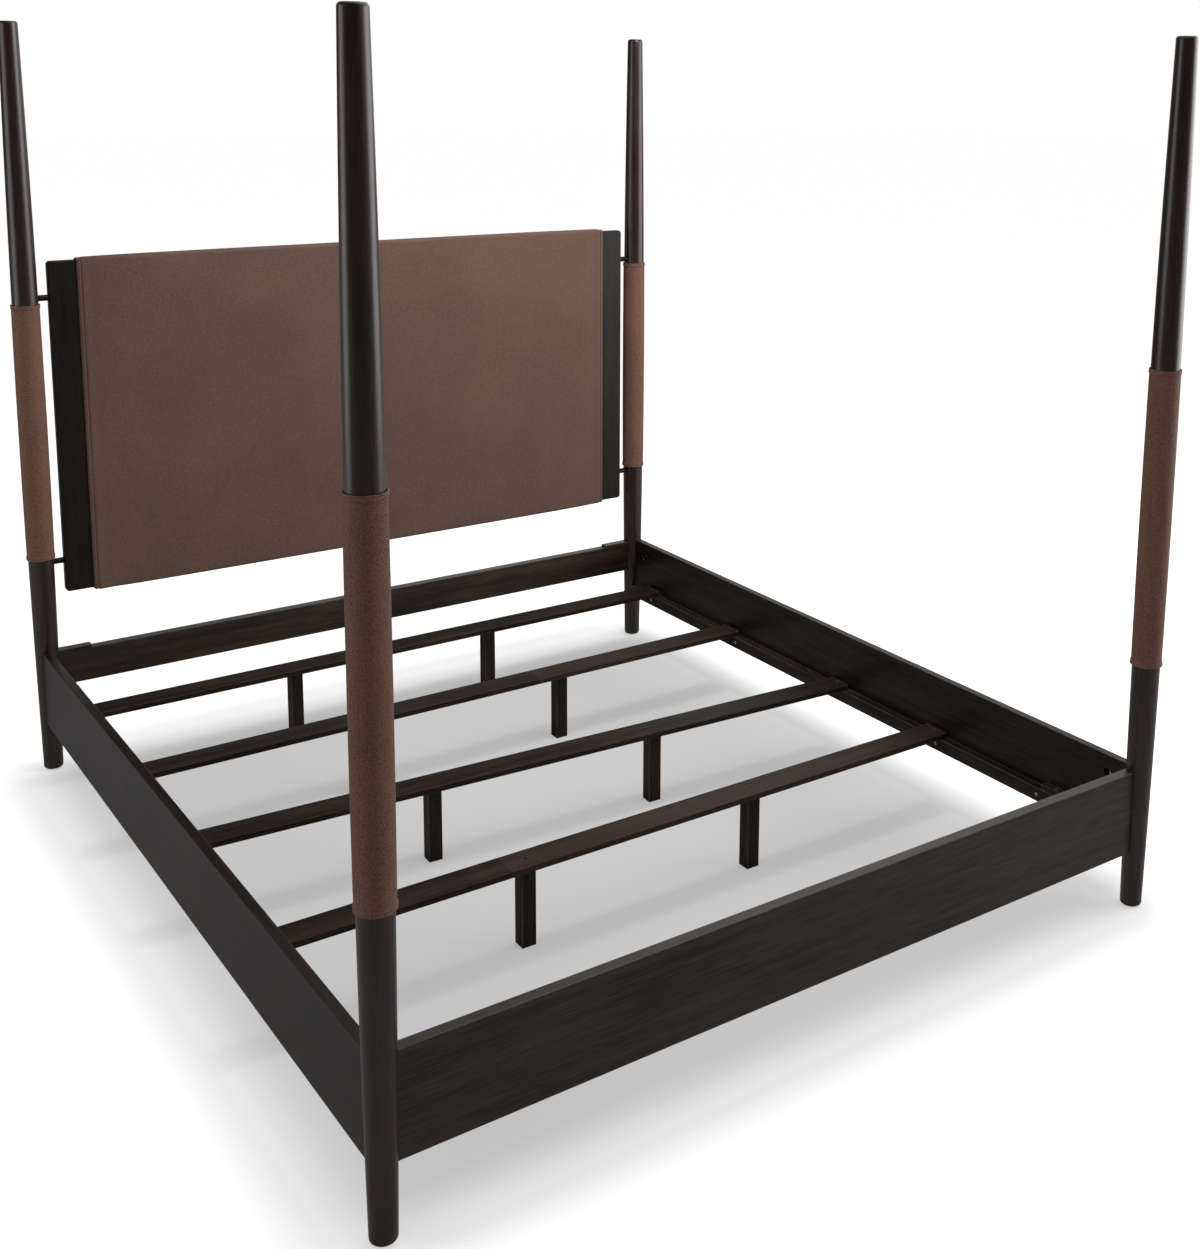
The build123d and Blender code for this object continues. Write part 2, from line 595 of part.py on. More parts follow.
DOWN = (0, 0, -1)
slat_screw_spots = slat_spots(SLAT_SCREW_X)
leg_screw_spots = slat_spots(LEG_FROM_CENTRE)
packer_screw_spots = [(sx * SLAT_SCREW_X, PACKER_CENTRE, SLAT_TOP) for _, sx in SIDES]

# Ledgers inside the side rails
for side, sx in SIDES:
    x_faces = sorted((sx * LEDGER_FACE_X, sx * RAIL_INNER_X))
    with BuildPart() as ledger:
        block(
            (x_faces[0], LEDGER_FOOT_END, LEDGER_BOTTOM),
            (x_faces[1], POST_Y - LEDGER_HEAD_CLEAR, LEDGER_TOP),
        )
        for y in LEDGER_SCREW_SPOTS:
            cut_screw((sx * LEDGER_FACE_X, y, LEDGER_MIDDLE_Z), (sx, 0, 0), LEDGER_SCREW_LENGTH)
        for spot in slat_screw_spots + packer_screw_spots:
            if spot[0] * sx > 0:
                cut_screw(spot, DOWN, SLAT_SCREW_LENGTH)
    save(ledger.part, f"ledger_{side}")

# Packers on the ledgers by the foot rail, as wide and as thick as a slat
for side, sx in SIDES:
    x_faces = sorted((sx * LEDGER_FACE_X, sx * SLAT_HALF))
    with BuildPart() as packer:
        block(
            (x_faces[0], PACKER_CENTRE - SLAT_WIDTH / 2, LEDGER_TOP),
            (x_faces[1], PACKER_CENTRE + SLAT_WIDTH / 2, SLAT_TOP),
        )
        cut_screw((sx * SLAT_SCREW_X, PACKER_CENTRE, SLAT_TOP), DOWN, SLAT_SCREW_LENGTH)
    save(packer.part, f"ledger_packer_{side}")

# Slats, each screwed to both ledgers and to its two support legs
for index in range(len(SLAT_CENTRES)):
    with BuildPart() as slat:
        with BuildSketch(slat_plane(index, LEDGER_TOP)):
            Rectangle(2 * SLAT_HALF, SLAT_WIDTH)
        extrude(amount=SLAT_THICKNESS)
        long_edges = slat.edges().filter_by(lambda edge: edge.length > SLAT_HALF)
        fillet(long_edges, EASED_EDGE)
        for spot in slat_screw_spots[2 * index:2 * index + 2]:
            cut_screw(spot, DOWN, SLAT_SCREW_LENGTH)
        for spot in leg_screw_spots[2 * index:2 * index + 2]:
            cut_screw(spot, DOWN, LEG_SCREW_LENGTH)
    save(slat.part, f"slat_{index + 1}")
    for side, sx in SIDES:
        along = sx * LEG_FROM_CENTRE
        with BuildPart() as leg:
            with BuildSketch(slat_plane(index, 0)):
                with Locations((along, 0)):
                    Rectangle(LEG_SIDE, LEG_SIDE)
            extrude(amount=LEDGER_TOP)
            cut_screw(slat_point(index, along, SLAT_TOP), DOWN, LEG_SCREW_LENGTH)
        save(leg.part, f"support_leg_{index + 1}_{side}")

# Screws
with BuildPart() as slat_screws:
    for spot in slat_screw_spots + packer_screw_spots:
        add_screw(spot, DOWN, SLAT_SCREW_LENGTH)
save(slat_screws.part, "slat_screws")

with BuildPart() as leg_screws:
    for spot in leg_screw_spots:
        add_screw(spot, DOWN, LEG_SCREW_LENGTH)
save(leg_screws.part, "leg_screws")

with BuildPart() as ledger_screws:
    for _, sx in SIDES:
        for y in LEDGER_SCREW_SPOTS:
            add_screw((sx * LEDGER_FACE_X, y, LEDGER_MIDDLE_Z), (sx, 0, 0), LEDGER_SCREW_LENGTH)
save(ledger_screws.part, "ledger_screws")
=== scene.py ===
"""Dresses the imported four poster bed: turned posts, stitched leather, stained wood, steel, a pale studio."""

import logging
import math
from dataclasses import dataclass, field
from enum import Enum
from functools import partial
from typing import Any, Callable, Sequence

import bmesh
import bpy
from mathutils import Matrix, Vector, noise


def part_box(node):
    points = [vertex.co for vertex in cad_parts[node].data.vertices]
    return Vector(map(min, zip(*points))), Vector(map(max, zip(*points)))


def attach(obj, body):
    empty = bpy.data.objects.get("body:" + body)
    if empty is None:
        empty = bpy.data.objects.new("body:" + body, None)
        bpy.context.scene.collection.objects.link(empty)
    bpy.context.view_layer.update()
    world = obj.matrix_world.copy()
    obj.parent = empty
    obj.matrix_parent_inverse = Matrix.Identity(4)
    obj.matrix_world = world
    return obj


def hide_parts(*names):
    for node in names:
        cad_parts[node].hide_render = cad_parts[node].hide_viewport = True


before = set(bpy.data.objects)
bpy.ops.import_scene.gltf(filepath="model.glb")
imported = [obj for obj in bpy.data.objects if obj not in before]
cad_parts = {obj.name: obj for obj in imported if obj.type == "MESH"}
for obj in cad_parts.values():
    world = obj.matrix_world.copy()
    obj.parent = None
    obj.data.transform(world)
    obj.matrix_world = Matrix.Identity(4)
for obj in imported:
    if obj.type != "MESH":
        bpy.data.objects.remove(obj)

log = logging.getLogger("bed")

MM = 0.001
BODY = "root"

Adder = Callable[..., bpy.types.Node]


class Grain(Enum):
    """The way a board's grain runs, as an axis of the bed."""

    ACROSS = 0
    ALONG = 1
    UP = 2


class Side(Enum):
    """The two ends of the headboard, or the two sides of the bed."""

    LEFT = -1
    RIGHT = 1


def linear(colour: str) -> tuple[float, float, float, float]:
    """Turns an sRGB hex colour into the linear values that a shader works in.

    Args:
        colour: Six hex digits, red first.

    Returns:
        Linear red, green and blue, and an alpha of one.
    """
    parts = [int(colour[start:start + 2], 16) / 255 for start in (0, 2, 4)]
    lit = [part / 12.92 if part <= 0.04045 else ((part + 0.055) / 1.055) ** 2.4 for part in parts]
    return (lit[0], lit[1], lit[2], 1.0)


def add_node(
    tree: bpy.types.NodeTree,
    kind: str,
    settings: dict[str, Any] | None = None,
    inputs: dict[int | str, Any] | None = None,
) -> bpy.types.Node:
    """Adds one node with its settings, its plain values and its links.

    Args:
        tree: The material's or rule's tree.
        kind: The node's type name.
        settings: Properties of the node to set.
        inputs: What each input gets, by name or place: a value, a socket to link from, or a node, whose
            first output is linked.

    Returns:
        The new node.
    """
    node = tree.nodes.new(kind)
    for name, value in (settings or {}).items():
        setattr(node, name, value)
    for key, value in (inputs or {}).items():
        if isinstance(value, bpy.types.Node):
            value = value.outputs[0]
        if isinstance(value, bpy.types.NodeSocket):
            tree.links.new(value, node.inputs[key])
        else:
            node.inputs[key].default_value = value
    return node


def blank_material(name: str) -> tuple[bpy.types.Material, Adder, bpy.types.NodeSocket]:
    """Starts a material that has no nodes but the one for the place on the object.

    Args:
        name: The material's name.

    Returns:
        The material, add_node for its tree, and the socket that gives the point on the object.
    """
    material = bpy.data.materials.new(name)
    material.use_nodes = True
    material.node_tree.nodes.clear()
    add = partial(add_node, material.node_tree)
    return material, add, add("ShaderNodeTexCoord").outputs["Object"]


def smooth_step(value: float) -> float:
    """Eases a share from 0 to 1, flat at both ends."""
    share = min(max(value, 0.0), 1.0)
    return share * share * (3 - 2 * share)


def round_over(depth: float, radius: float) -> float:
    """Gives how far a rounded edge stands back.

    Args:
        depth: How far the place is from the edge, in metres.
        radius: The edge's radius, in metres.

    Returns:
        How far the surface is back there, in metres.
    """
    if depth >= radius:
        return 0.0
    return radius - math.sqrt(radius ** 2 - (radius - depth) ** 2)


def new_object(name: str, mesh: bpy.types.Mesh) -> bpy.types.Object:
    """Puts a mesh into the scene as an object at the origin.

    Args:
        name: The object's name.
        mesh: Its mesh, in the bed's own place.

    Returns:
        The object.
    """
    made = bpy.data.objects.new(name, mesh)
    bpy.context.scene.collection.objects.link(made)
    return made


def mesh_from(
    name: str, points: list[Vector], faces: list[list[int]], edges: Sequence[tuple[int, int]] = ()
) -> bpy.types.Mesh:
    """Makes a mesh of points with faces or bare edges, and smooths its shading.

    Args:
        name: The mesh's name.
        points: Where its points are, in metres.
        faces: The places in that list that each face joins.
        edges: The pairs that bare edges join, where it has no faces.

    Returns:
        The new mesh.
    """
    mesh = bpy.data.meshes.new(name)
    mesh.from_pydata([tuple(point) for point in points], list(edges), faces)
    mesh.polygons.foreach_set("use_smooth", [True] * len(mesh.polygons))
    mesh.update()
    return mesh


def grid_faces(rows: int, around: int) -> list[list[int]]:
    """Joins rows of points, each a closed ring, into the faces of a tube.

    Args:
        rows: How many rings there are.
        around: How many points each ring has.

    Returns:
        One face of four points for each gap.
    """
    faces = []
    for row in range(rows - 1):
        for place in range(around):
            after = (place + 1) % around
            low, high = row * around, (row + 1) * around
            faces.append([low + place, low + after, high + after, high + place])
    return faces


def solid_places(node: str) -> list[tuple[Vector, Vector]]:
    """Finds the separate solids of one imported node, such as the screws of a set.

    Args:
        node: The node's name.

    Returns:
        The lowest and highest corner of each solid.
    """
    merged = bmesh.new()
    merged.from_mesh(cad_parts[node].data)
    bmesh.ops.remove_doubles(merged, verts=merged.verts, dist=1e-6)
    unseen, found = set(merged.verts), []
    while unseen:
        reached = [unseen.pop()]
        for vertex in reached:
            for edge in vertex.link_edges:
                other = edge.other_vert(vertex)
                if other in unseen:
                    unseen.discard(other)
                    reached.append(other)
        corners = [[vertex.co[axis] for vertex in reached] for axis in range(3)]
        found.append((Vector(map(min, corners)), Vector(map(max, corners))))
    merged.free()
    return sorted(found, key=lambda corner: tuple(corner[0]))


class NodeRule:
    """A Geometry Nodes tree with named inputs, run once and turned into a plain mesh."""

    def __init__(self, name: str) -> None:
        """Starts an empty rule.

        Args:
            name: What the rule makes.
        """
        self.tree = bpy.data.node_groups.new(name, "GeometryNodeTree")
        self.sockets: dict[str, str] = {}
        self.tree.interface.new_socket("Geometry", in_out="INPUT", socket_type="NodeSocketGeometry")
        self.tree.interface.new_socket("Geometry", in_out="OUTPUT", socket_type="NodeSocketGeometry")
        self.given = add_node(self.tree, "NodeGroupInput")

    def size(self, name: str, kind: str = "NodeSocketFloat") -> bpy.types.NodeSocket:
        """Adds a named input and returns the socket that carries it in the tree."""
        self.sockets[name] = self.tree.interface.new_socket(name, in_out="INPUT", socket_type=kind).identifier
        return self.given.outputs[name]

    def add(
        self,
        kind: str,
        settings: dict[str, Any] | None = None,
        inputs: dict[int | str, Any] | None = None,
    ) -> bpy.types.Node:
        """Adds one node to this rule's tree, as add_node does."""
        return add_node(self.tree, kind, settings, inputs)

    def end(self, shape: bpy.types.Node) -> None:
        """Ends the tree: the shape is made real, gets its material and goes out.

        Args:
            shape: The node that gives the finished shape.
        """
        real = self.add("GeometryNodeRealizeInstances", inputs={"Geometry": shape})
        dressed = self.add(
            "GeometryNodeSetMaterial",
            inputs={"Geometry": real, "Material": self.size("Material", "NodeSocketMaterial")},
        )
        self.add("NodeGroupOutput", inputs={0: dressed})

    def make(self, name: str, host: bpy.types.Mesh, values: dict[str, Any]) -> bpy.types.Object:
        """Runs the rule on a host mesh and keeps the result as a plain mesh.

        Args:
            name: The new piece's name.
            host: The mesh that the rule starts from.
            values: What each named input gets.

        Returns:
            The piece, with no modifier left on it.
        """
        piece = new_object(name, host)
        modifier = piece.modifiers.new(name, "NODES")
        modifier.node_group = self.tree
        for key, value in values.items():
            modifier[self.sockets[key]] = value
        solved = piece.evaluated_get(bpy.context.evaluated_depsgraph_get())
        plain = bpy.data.meshes.new_from_object(solved)
        piece.modifiers.clear()
        piece.data = plain
        return piece


@dataclass(frozen=True)
class StainedWood:
    """Hardwood stained espresso under lacquer: streaks along the grain, and edges painted paler for wear and a
    painted highlight.
    """

    name: str
    dark: str
    light: str
    grain: Grain
    roughness: float
    gloss: float
    # The colour painted on the edges, for wear and a painted highlight, with its width in millimetres and its
    # share.
    edge: str = "5b5650"
    worn_highlight_width: float = 1.6
    worn_highlight_share: float = 0.5
    joint_at: float | None = None

    def build(self) -> bpy.types.Material:
        """Builds the material.

        Returns:
            The wood, with its grain running along the bed's axis named in grain.
        """
        material, add, place = blank_material(self.name)
        # Pores are about 0.3 mm wide and 10 mm long; they are drawn 1.6 by 55 mm, so that they show.
        pores = self.streaks(add, place, 1.6, 55.0, 5.0)
        # Growth rings cut lengthways show as bands about 14 mm wide that fade over half a metre.
        bands = self.streaks(add, place, 14.0, 450.0, 3.0)
        # The stain takes unevenly, in patches as broad as a hand.
        patches = self.streaks(add, place, 90.0, 260.0, 2.0)
        tone = add("ShaderNodeMath", {"operation": "MULTIPLY_ADD"}, {0: pores, 1: 0.55, 2: -0.05})
        for part, share in ((bands, 0.35), (patches, 0.2)):
            tone = add("ShaderNodeMath", {"operation": "MULTIPLY_ADD"}, {0: part, 1: share, 2: tone})
        if self.joint_at is not None:
            tone = self.finger_joint(add, place, tone)
        spread = add("ShaderNodeMapRange", {"interpolation_type": "SMOOTHSTEP"}, {0: tone, 1: 0.34, 2: 0.7})
        stain = add(
            "ShaderNodeMix", {"data_type": "RGBA"},
            {0: spread, 6: linear(self.dark), 7: linear(self.light)},
        )
        # The rounded edges are painted paler: part wear, part a painted highlight where they catch the light.
        wear_and_edge_highlight = self.worn_and_highlit_edges(add, pores)
        colour = add(
            "ShaderNodeMix", {"data_type": "RGBA"},
            {0: wear_and_edge_highlight, 6: stain.outputs[2], 7: linear(self.edge)},
        )
        sheen = add(
            "ShaderNodeMapRange", {},
            {0: pores, 1: 0.2, 2: 0.8, 3: self.roughness - 0.05, 4: self.roughness + 0.09},
        )
        relief = add("ShaderNodeBump", {}, {"Strength": 0.25, "Distance": 0.0004, "Height": pores})
        surface = add(
            "ShaderNodeBsdfPrincipled", {},
            {
                "Base Color": colour.outputs[2],
                "Roughness": sheen,
                "IOR": 1.5,
                "Specular IOR Level": self.gloss,
                "Normal": relief,
            },
        )
        add("ShaderNodeOutputMaterial", {}, {0: surface})
        return material

    def streaks(
        self, add: Adder, place: bpy.types.NodeSocket, width: float, length: float, detail: float
    ) -> bpy.types.NodeSocket:
        """Draws noise stretched along the grain.

        Args:
            add: The function that adds a node to the material.
            place: The point on the object.
            width: How wide a streak is across the grain, in millimetres.
            length: How long it is along the grain, in millimetres.
            detail: How many finer layers the noise has.

        Returns:
            The noise, from 0 to 1.
        """
        scale = [1 / (width * MM)] * 3
        scale[self.grain.value] = 1 / (length * MM)
        drawn = add("ShaderNodeMapping", {"vector_type": "POINT"}, {"Vector": place, "Scale": scale})
        grainy = add(
            "ShaderNodeTexNoise", {},
            {"Vector": drawn, "Scale": 1.0, "Detail": detail, "Roughness": 0.6},
        )
        return grainy.outputs["Fac"]

    def worn_and_highlit_edges(self, add: Adder, pores: bpy.types.NodeSocket) -> bpy.types.NodeSocket:
        """Finds the rounded edges, which are painted paler for wear and a painted highlight.

        Args:
            add: The function that adds a node to the material.
            pores: The fine grain, which breaks the rubbing up.

        Returns:
            How much of the paler edge colour, for wear and painted highlight, shows, from 0 to 1.
        """
        eased = add("ShaderNodeBevel", {"samples": 4}, {"Radius": self.worn_highlight_width * MM})
        flat = add("ShaderNodeNewGeometry")
        match = add(
            "ShaderNodeVectorMath", {"operation": "DOT_PRODUCT"},
            {0: eased, 1: flat.outputs["Normal"]},
        )
        turned = add(
            "ShaderNodeMapRange", {},
            {0: match.outputs["Value"], 1: 0.995, 2: 0.85, 3: 0.0, 4: self.worn_highlight_share},
        )
        broken = add("ShaderNodeMapRange", {}, {0: pores, 1: 0.3, 2: 0.7, 3: 0.4, 4: 1.0})
        return add("ShaderNodeMath", {"operation": "MULTIPLY"}, {0: turned, 1: broken}).outputs[0]

    def finger_joint(
        self, add: Adder, place: bpy.types.NodeSocket, tone: bpy.types.Node
    ) -> bpy.types.Node:
        """Draws the glued joint of two shorter boards: a fine dark line and a change of tone.

        Args:
            add: The function that adds a node to the material.
            place: The point on the object.
            tone: The node that gives the tone so far.

        Returns:
            The node that gives the tone with the joint in it.
        """
        parts = add("ShaderNodeSeparateXYZ", {}, {0: place})
        off = add("ShaderNodeMath", {"operation": "SUBTRACT"}, {0: parts, 1: self.joint_at})
        near = add("ShaderNodeMath", {"operation": "ABSOLUTE"}, {0: off})
        # The glue line is about 0.2 mm wide; it is drawn 1.4 mm wide, so that it shows.
        line = add("ShaderNodeMapRange", {}, {0: near, 1: 0.4 * MM, 2: 1.0 * MM, 3: 0.35, 4: 0.0})
        past = add("ShaderNodeMath", {"operation": "GREATER_THAN"}, {0: off, 1: 0.0})
        shifted = add("ShaderNodeMath", {"operation": "MULTIPLY_ADD"}, {0: past, 1: 0.09, 2: tone})
        return add("ShaderNodeMath", {"operation": "SUBTRACT"}, {0: shifted, 1: line})


@dataclass(frozen=True)
class PebbledLeather:
    """Drum-dyed cow hide with a pebbled grain: soft sheen on each pebble, and painted shade in the creases."""

    name: str = "pebbled_brown_leather"
    crease_shade: str = "54403a"
    pebble: str = "705649"
    pale: str = "7c6455"
    grain: float = 2.4
    relief: float = 0.0006

    def build(self) -> bpy.types.Material:
        """Builds the material.

        Returns:
            The leather.
        """
        material, add, place = blank_material(self.name)
        # The pebbles of this hide are 1 to 2 mm across. They are drawn 2.4 mm across on the headboard and
        # 3.2 mm across on the sleeves, so that they show.
        wander = add("ShaderNodeTexNoise", {}, {"Vector": place, "Scale": 1 / (6 * MM), "Detail": 2.0})
        shifted = add(
            "ShaderNodeVectorMath", {"operation": "MULTIPLY_ADD"},
            {0: wander.outputs["Color"], 1: (1.6 * MM,) * 3, 2: place},
        )
        cells = add(
            "ShaderNodeTexVoronoi", {"feature": "DISTANCE_TO_EDGE"},
            {"Vector": shifted, "Scale": 1 / (self.grain * MM)},
        )
        domed = add("ShaderNodeMapRange", {"interpolation_type": "SMOOTHSTEP"}, {0: cells, 1: 0.0, 2: 0.28})
        # The dye is a little uneven from the tannery, in clouds as broad as a palm.
        clouds = add(
            "ShaderNodeTexNoise", {},
            {"Vector": place, "Scale": 1 / (190 * MM), "Detail": 5.0, "Roughness": 0.6},
        )
        mottle = add(
            "ShaderNodeTexNoise", {},
            {"Vector": place, "Scale": 1 / (9 * MM), "Detail": 3.0, "Roughness": 0.7},
        )
        # The creases between the pebbles are darkened with painted shade.
        hide = add(
            "ShaderNodeMix", {"data_type": "RGBA"},
            {0: domed, 6: linear(self.crease_shade), 7: linear(self.pebble)},
        )
        worn = add("ShaderNodeMapRange", {}, {0: clouds.outputs["Fac"], 1: 0.38, 2: 0.7, 3: 0.0, 4: 0.22})
        clouded = add(
            "ShaderNodeMix", {"data_type": "RGBA"},
            {0: worn, 6: hide.outputs[2], 7: linear(self.pale)},
        )
        speck = add(
            "ShaderNodeMapRange", {}, {0: mottle.outputs["Fac"], 1: 0.35, 2: 0.65, 3: 0.94, 4: 1.05}
        )
        colour = add("ShaderNodeVectorMath", {"operation": "SCALE"}, {0: clouded.outputs[2], 3: speck})
        sheen = add("ShaderNodeMapRange", {}, {0: domed, 3: 0.72, 4: 0.52})
        relief = add("ShaderNodeBump", {}, {"Strength": 0.45, "Distance": self.relief, "Height": domed})
        loose = add(
            "ShaderNodeBump", {},
            {"Strength": 0.35, "Distance": 0.002, "Height": mottle.outputs["Fac"], "Normal": relief},
        )
        surface = add(
            "ShaderNodeBsdfPrincipled", {},
            {
                "Base Color": colour,
                "Roughness": sheen,
                "IOR": 1.48,
                "Specular IOR Level": 0.2,
                "Normal": loose,
            },
        )
        add("ShaderNodeOutputMaterial", {}, {0: surface})
        return material


@dataclass(frozen=True)
class PlainFinish:
    """A finish that is even but for fine marks: plated steel, nylon, beech or thread."""

    name: str
    colour: str
    marks: str
    mark_size: float
    roughness: float
    metallic: float = 0.0

    def build(self) -> bpy.types.Material:
        """Builds the material.

        Returns:
            The finish, with marks of mark_size millimetres.
        """
        material, add, place = blank_material(self.name)
        marks = add(
            "ShaderNodeTexNoise", {}, {"Vector": place, "Scale": 1 / (self.mark_size * MM), "Detail": 3.0}
        )
        share = add("ShaderNodeMapRange", {}, {0: marks.outputs["Fac"], 1: 0.4, 2: 0.62})
        colour = add(
            "ShaderNodeMix", {"data_type": "RGBA"},
            {0: share, 6: linear(self.colour), 7: linear(self.marks)},
        )
        sheen = add("ShaderNodeMapRange", {}, {0: share, 3: self.roughness - 0.04, 4: self.roughness + 0.1})
        relief = add(
            "ShaderNodeBump", {}, {"Strength": 0.2, "Distance": 0.0002, "Height": marks.outputs["Fac"]}
        )
        surface = add(
            "ShaderNodeBsdfPrincipled", {},
            {
                "Base Color": colour.outputs[2],
                "Metallic": self.metallic,
                "Roughness": sheen,
                "Normal": relief,
            },
        )
        add("ShaderNodeOutputMaterial", {}, {0: surface})
        return material


@dataclass
class Finishes:
    """Every finish on the bed, each built once."""

    post: bpy.types.Material = field(init=False)
    leather: bpy.types.Material = field(init=False)
    sleeve_leather_brightened: bpy.types.Material = field(init=False)
    thread: bpy.types.Material = field(init=False)
    dark_steel: bpy.types.Material = field(init=False)
    zinc: bpy.types.Material = field(init=False)
    beech: bpy.types.Material = field(init=False)
    nylon: bpy.types.Material = field(init=False)
    black_steel: bpy.types.Material = field(init=False)
    panel: bpy.types.Material = field(init=False)
    cross_board: bpy.types.Material = field(init=False)
    side_board_painted_shade: bpy.types.Material = field(init=False)
    ledger: bpy.types.Material = field(init=False)
    leg: bpy.types.Material = field(init=False)
    slats: dict[int, bpy.types.Material] = field(init=False)

    def __post_init__(self) -> None:
        """Builds the materials."""
        # Satin lacquer over a near-black stain: long soft highlights, with a red-brown glow in them.
        self.post = StainedWood(
            "espresso_post_satin", "110906", "34201a", Grain.UP, 0.28, 0.58, worn_highlight_share=0.0
        ).build()
        # Semi-matt hide: the pebbles catch a soft light, and the creases are darkened with painted shade.
        self.leather = PebbledLeather().build()
        # The sleeves get a lighter, slightly warmer copy of the hide, with a coarser pebble: the extra
        # lightness is painted light, making up for the light that the sleeves turn away from.
        self.sleeve_leather_brightened = PebbledLeather(
            "pebbled_sleeve_leather", "5a4134", "805e50", "8b6554", 3.2, 0.0007
        ).build()
        # Bonded nylon thread: its own colour is paler than the hide, and it is painted paler still as a
        # highlight, so that each stitch looks lit.
        self.thread = PlainFinish("brown_bonded_thread", "957a6c", "84695b", 1.0, 0.55).build()
        # Bronze-plated steel, dark and half dull.
        self.dark_steel = PlainFinish("dark_bronze_steel", "3a322b", "241e1a", 3.0, 0.38, 1.0).build()
        # Bright zinc plating with a cloudy grey bloom.
        self.zinc = PlainFinish("zinc_plated_steel", "b9b6ae", "8f8c86", 2.0, 0.34, 1.0).build()
        # Near-black steel for the screws over the legs, which look like dark holes.
        self.black_steel = PlainFinish("near_black_screw_steel", "1c1a18", "12100f", 2.0, 0.5, 1.0).build()
        # The headboard's panel gets a darker copy of the wood than the rails.
        self.panel = StainedWood(
            "espresso_panel_up", "0b0806", "221a15", Grain.UP, 0.36, 0.24, "5b5650", 1.4, 0.4
        ).build()
        # Turned beech dowels, bare and dull.
        self.beech = PlainFinish("plain_beech", "c9a983", "b28f68", 4.0, 0.62).build()
        # Moulded grey nylon of the glides, half dull.
        self.nylon = PlainFinish("grey_nylon", "6f6f6f", "646464", 1.5, 0.5).build()
        # Satin lacquer on the foot rail and the crossrail: the grain reads through a soft sheen.
        self.cross_board = StainedWood(
            "espresso_board_across", "0d0806", "3f332a", Grain.ACROSS, 0.34, 0.38, "9a938a", 1.4, 0.75
        ).build()
        # The side rails get a darker, less glossy copy of the board finish, so they are nearly black on the
        # inside: the darkness is painted shade.
        self.side_board_painted_shade = StainedWood(
            "espresso_board_along", "0a0604", "2b221c", Grain.ALONG, 0.36, 0.2, "9a938a", 1.4, 0.75
        ).build()
        # The slats, ledgers and legs carry one thin matt coat, painted pale on their edges for wear and a
        # painted highlight.
        coat = ("0c0806", "382e27")
        wear_and_edge_highlight = ("a39b90", 1.5, 0.9)
        self.ledger = StainedWood("stained_ledger", *coat, Grain.ALONG, 0.46, 0.1, *wear_and_edge_highlight).build()
        self.leg = StainedWood("stained_leg", *coat, Grain.UP, 0.46, 0.1, *wear_and_edge_highlight).build()
        # Two slats are glued up from shorter boards, each with its finger joint in its own place.
        joints = {1: None, 2: 0.222, 3: None, 4: -0.362}
        self.slats = {
            row: StainedWood(f"stained_slat_{row}", *coat, Grain.ACROSS, 0.46, 0.1, *wear_and_edge_highlight, joint).build()
            for row, joint in joints.items()
        }


@dataclass(frozen=True)
class PostShape:
    """The rule of a turned post: widest at its belly, slimmer to both ends, in metres."""

    foot: float = 0.003
    top: float = 2.006
    belly: float = 0.9395
    belly_radius: float = 0.033
    foot_radius: float = 0.0245
    top_radius: float = 0.0235
    end_round: float = 0.007

    def radius(self, height: float) -> float:
        """Gives the post's radius, without its end rounds.

        Args:
            height: The height above the floor.

        Returns:
            The radius, in metres.
        """
        if height < self.belly:
            share = (self.belly - height) / (self.belly - self.foot)
            return self.belly_radius - (self.belly_radius - self.foot_radius) * share ** 2
        share = (height - self.belly) / (self.top - self.belly)
        return self.belly_radius - (self.belly_radius - self.top_radius) * share ** 2


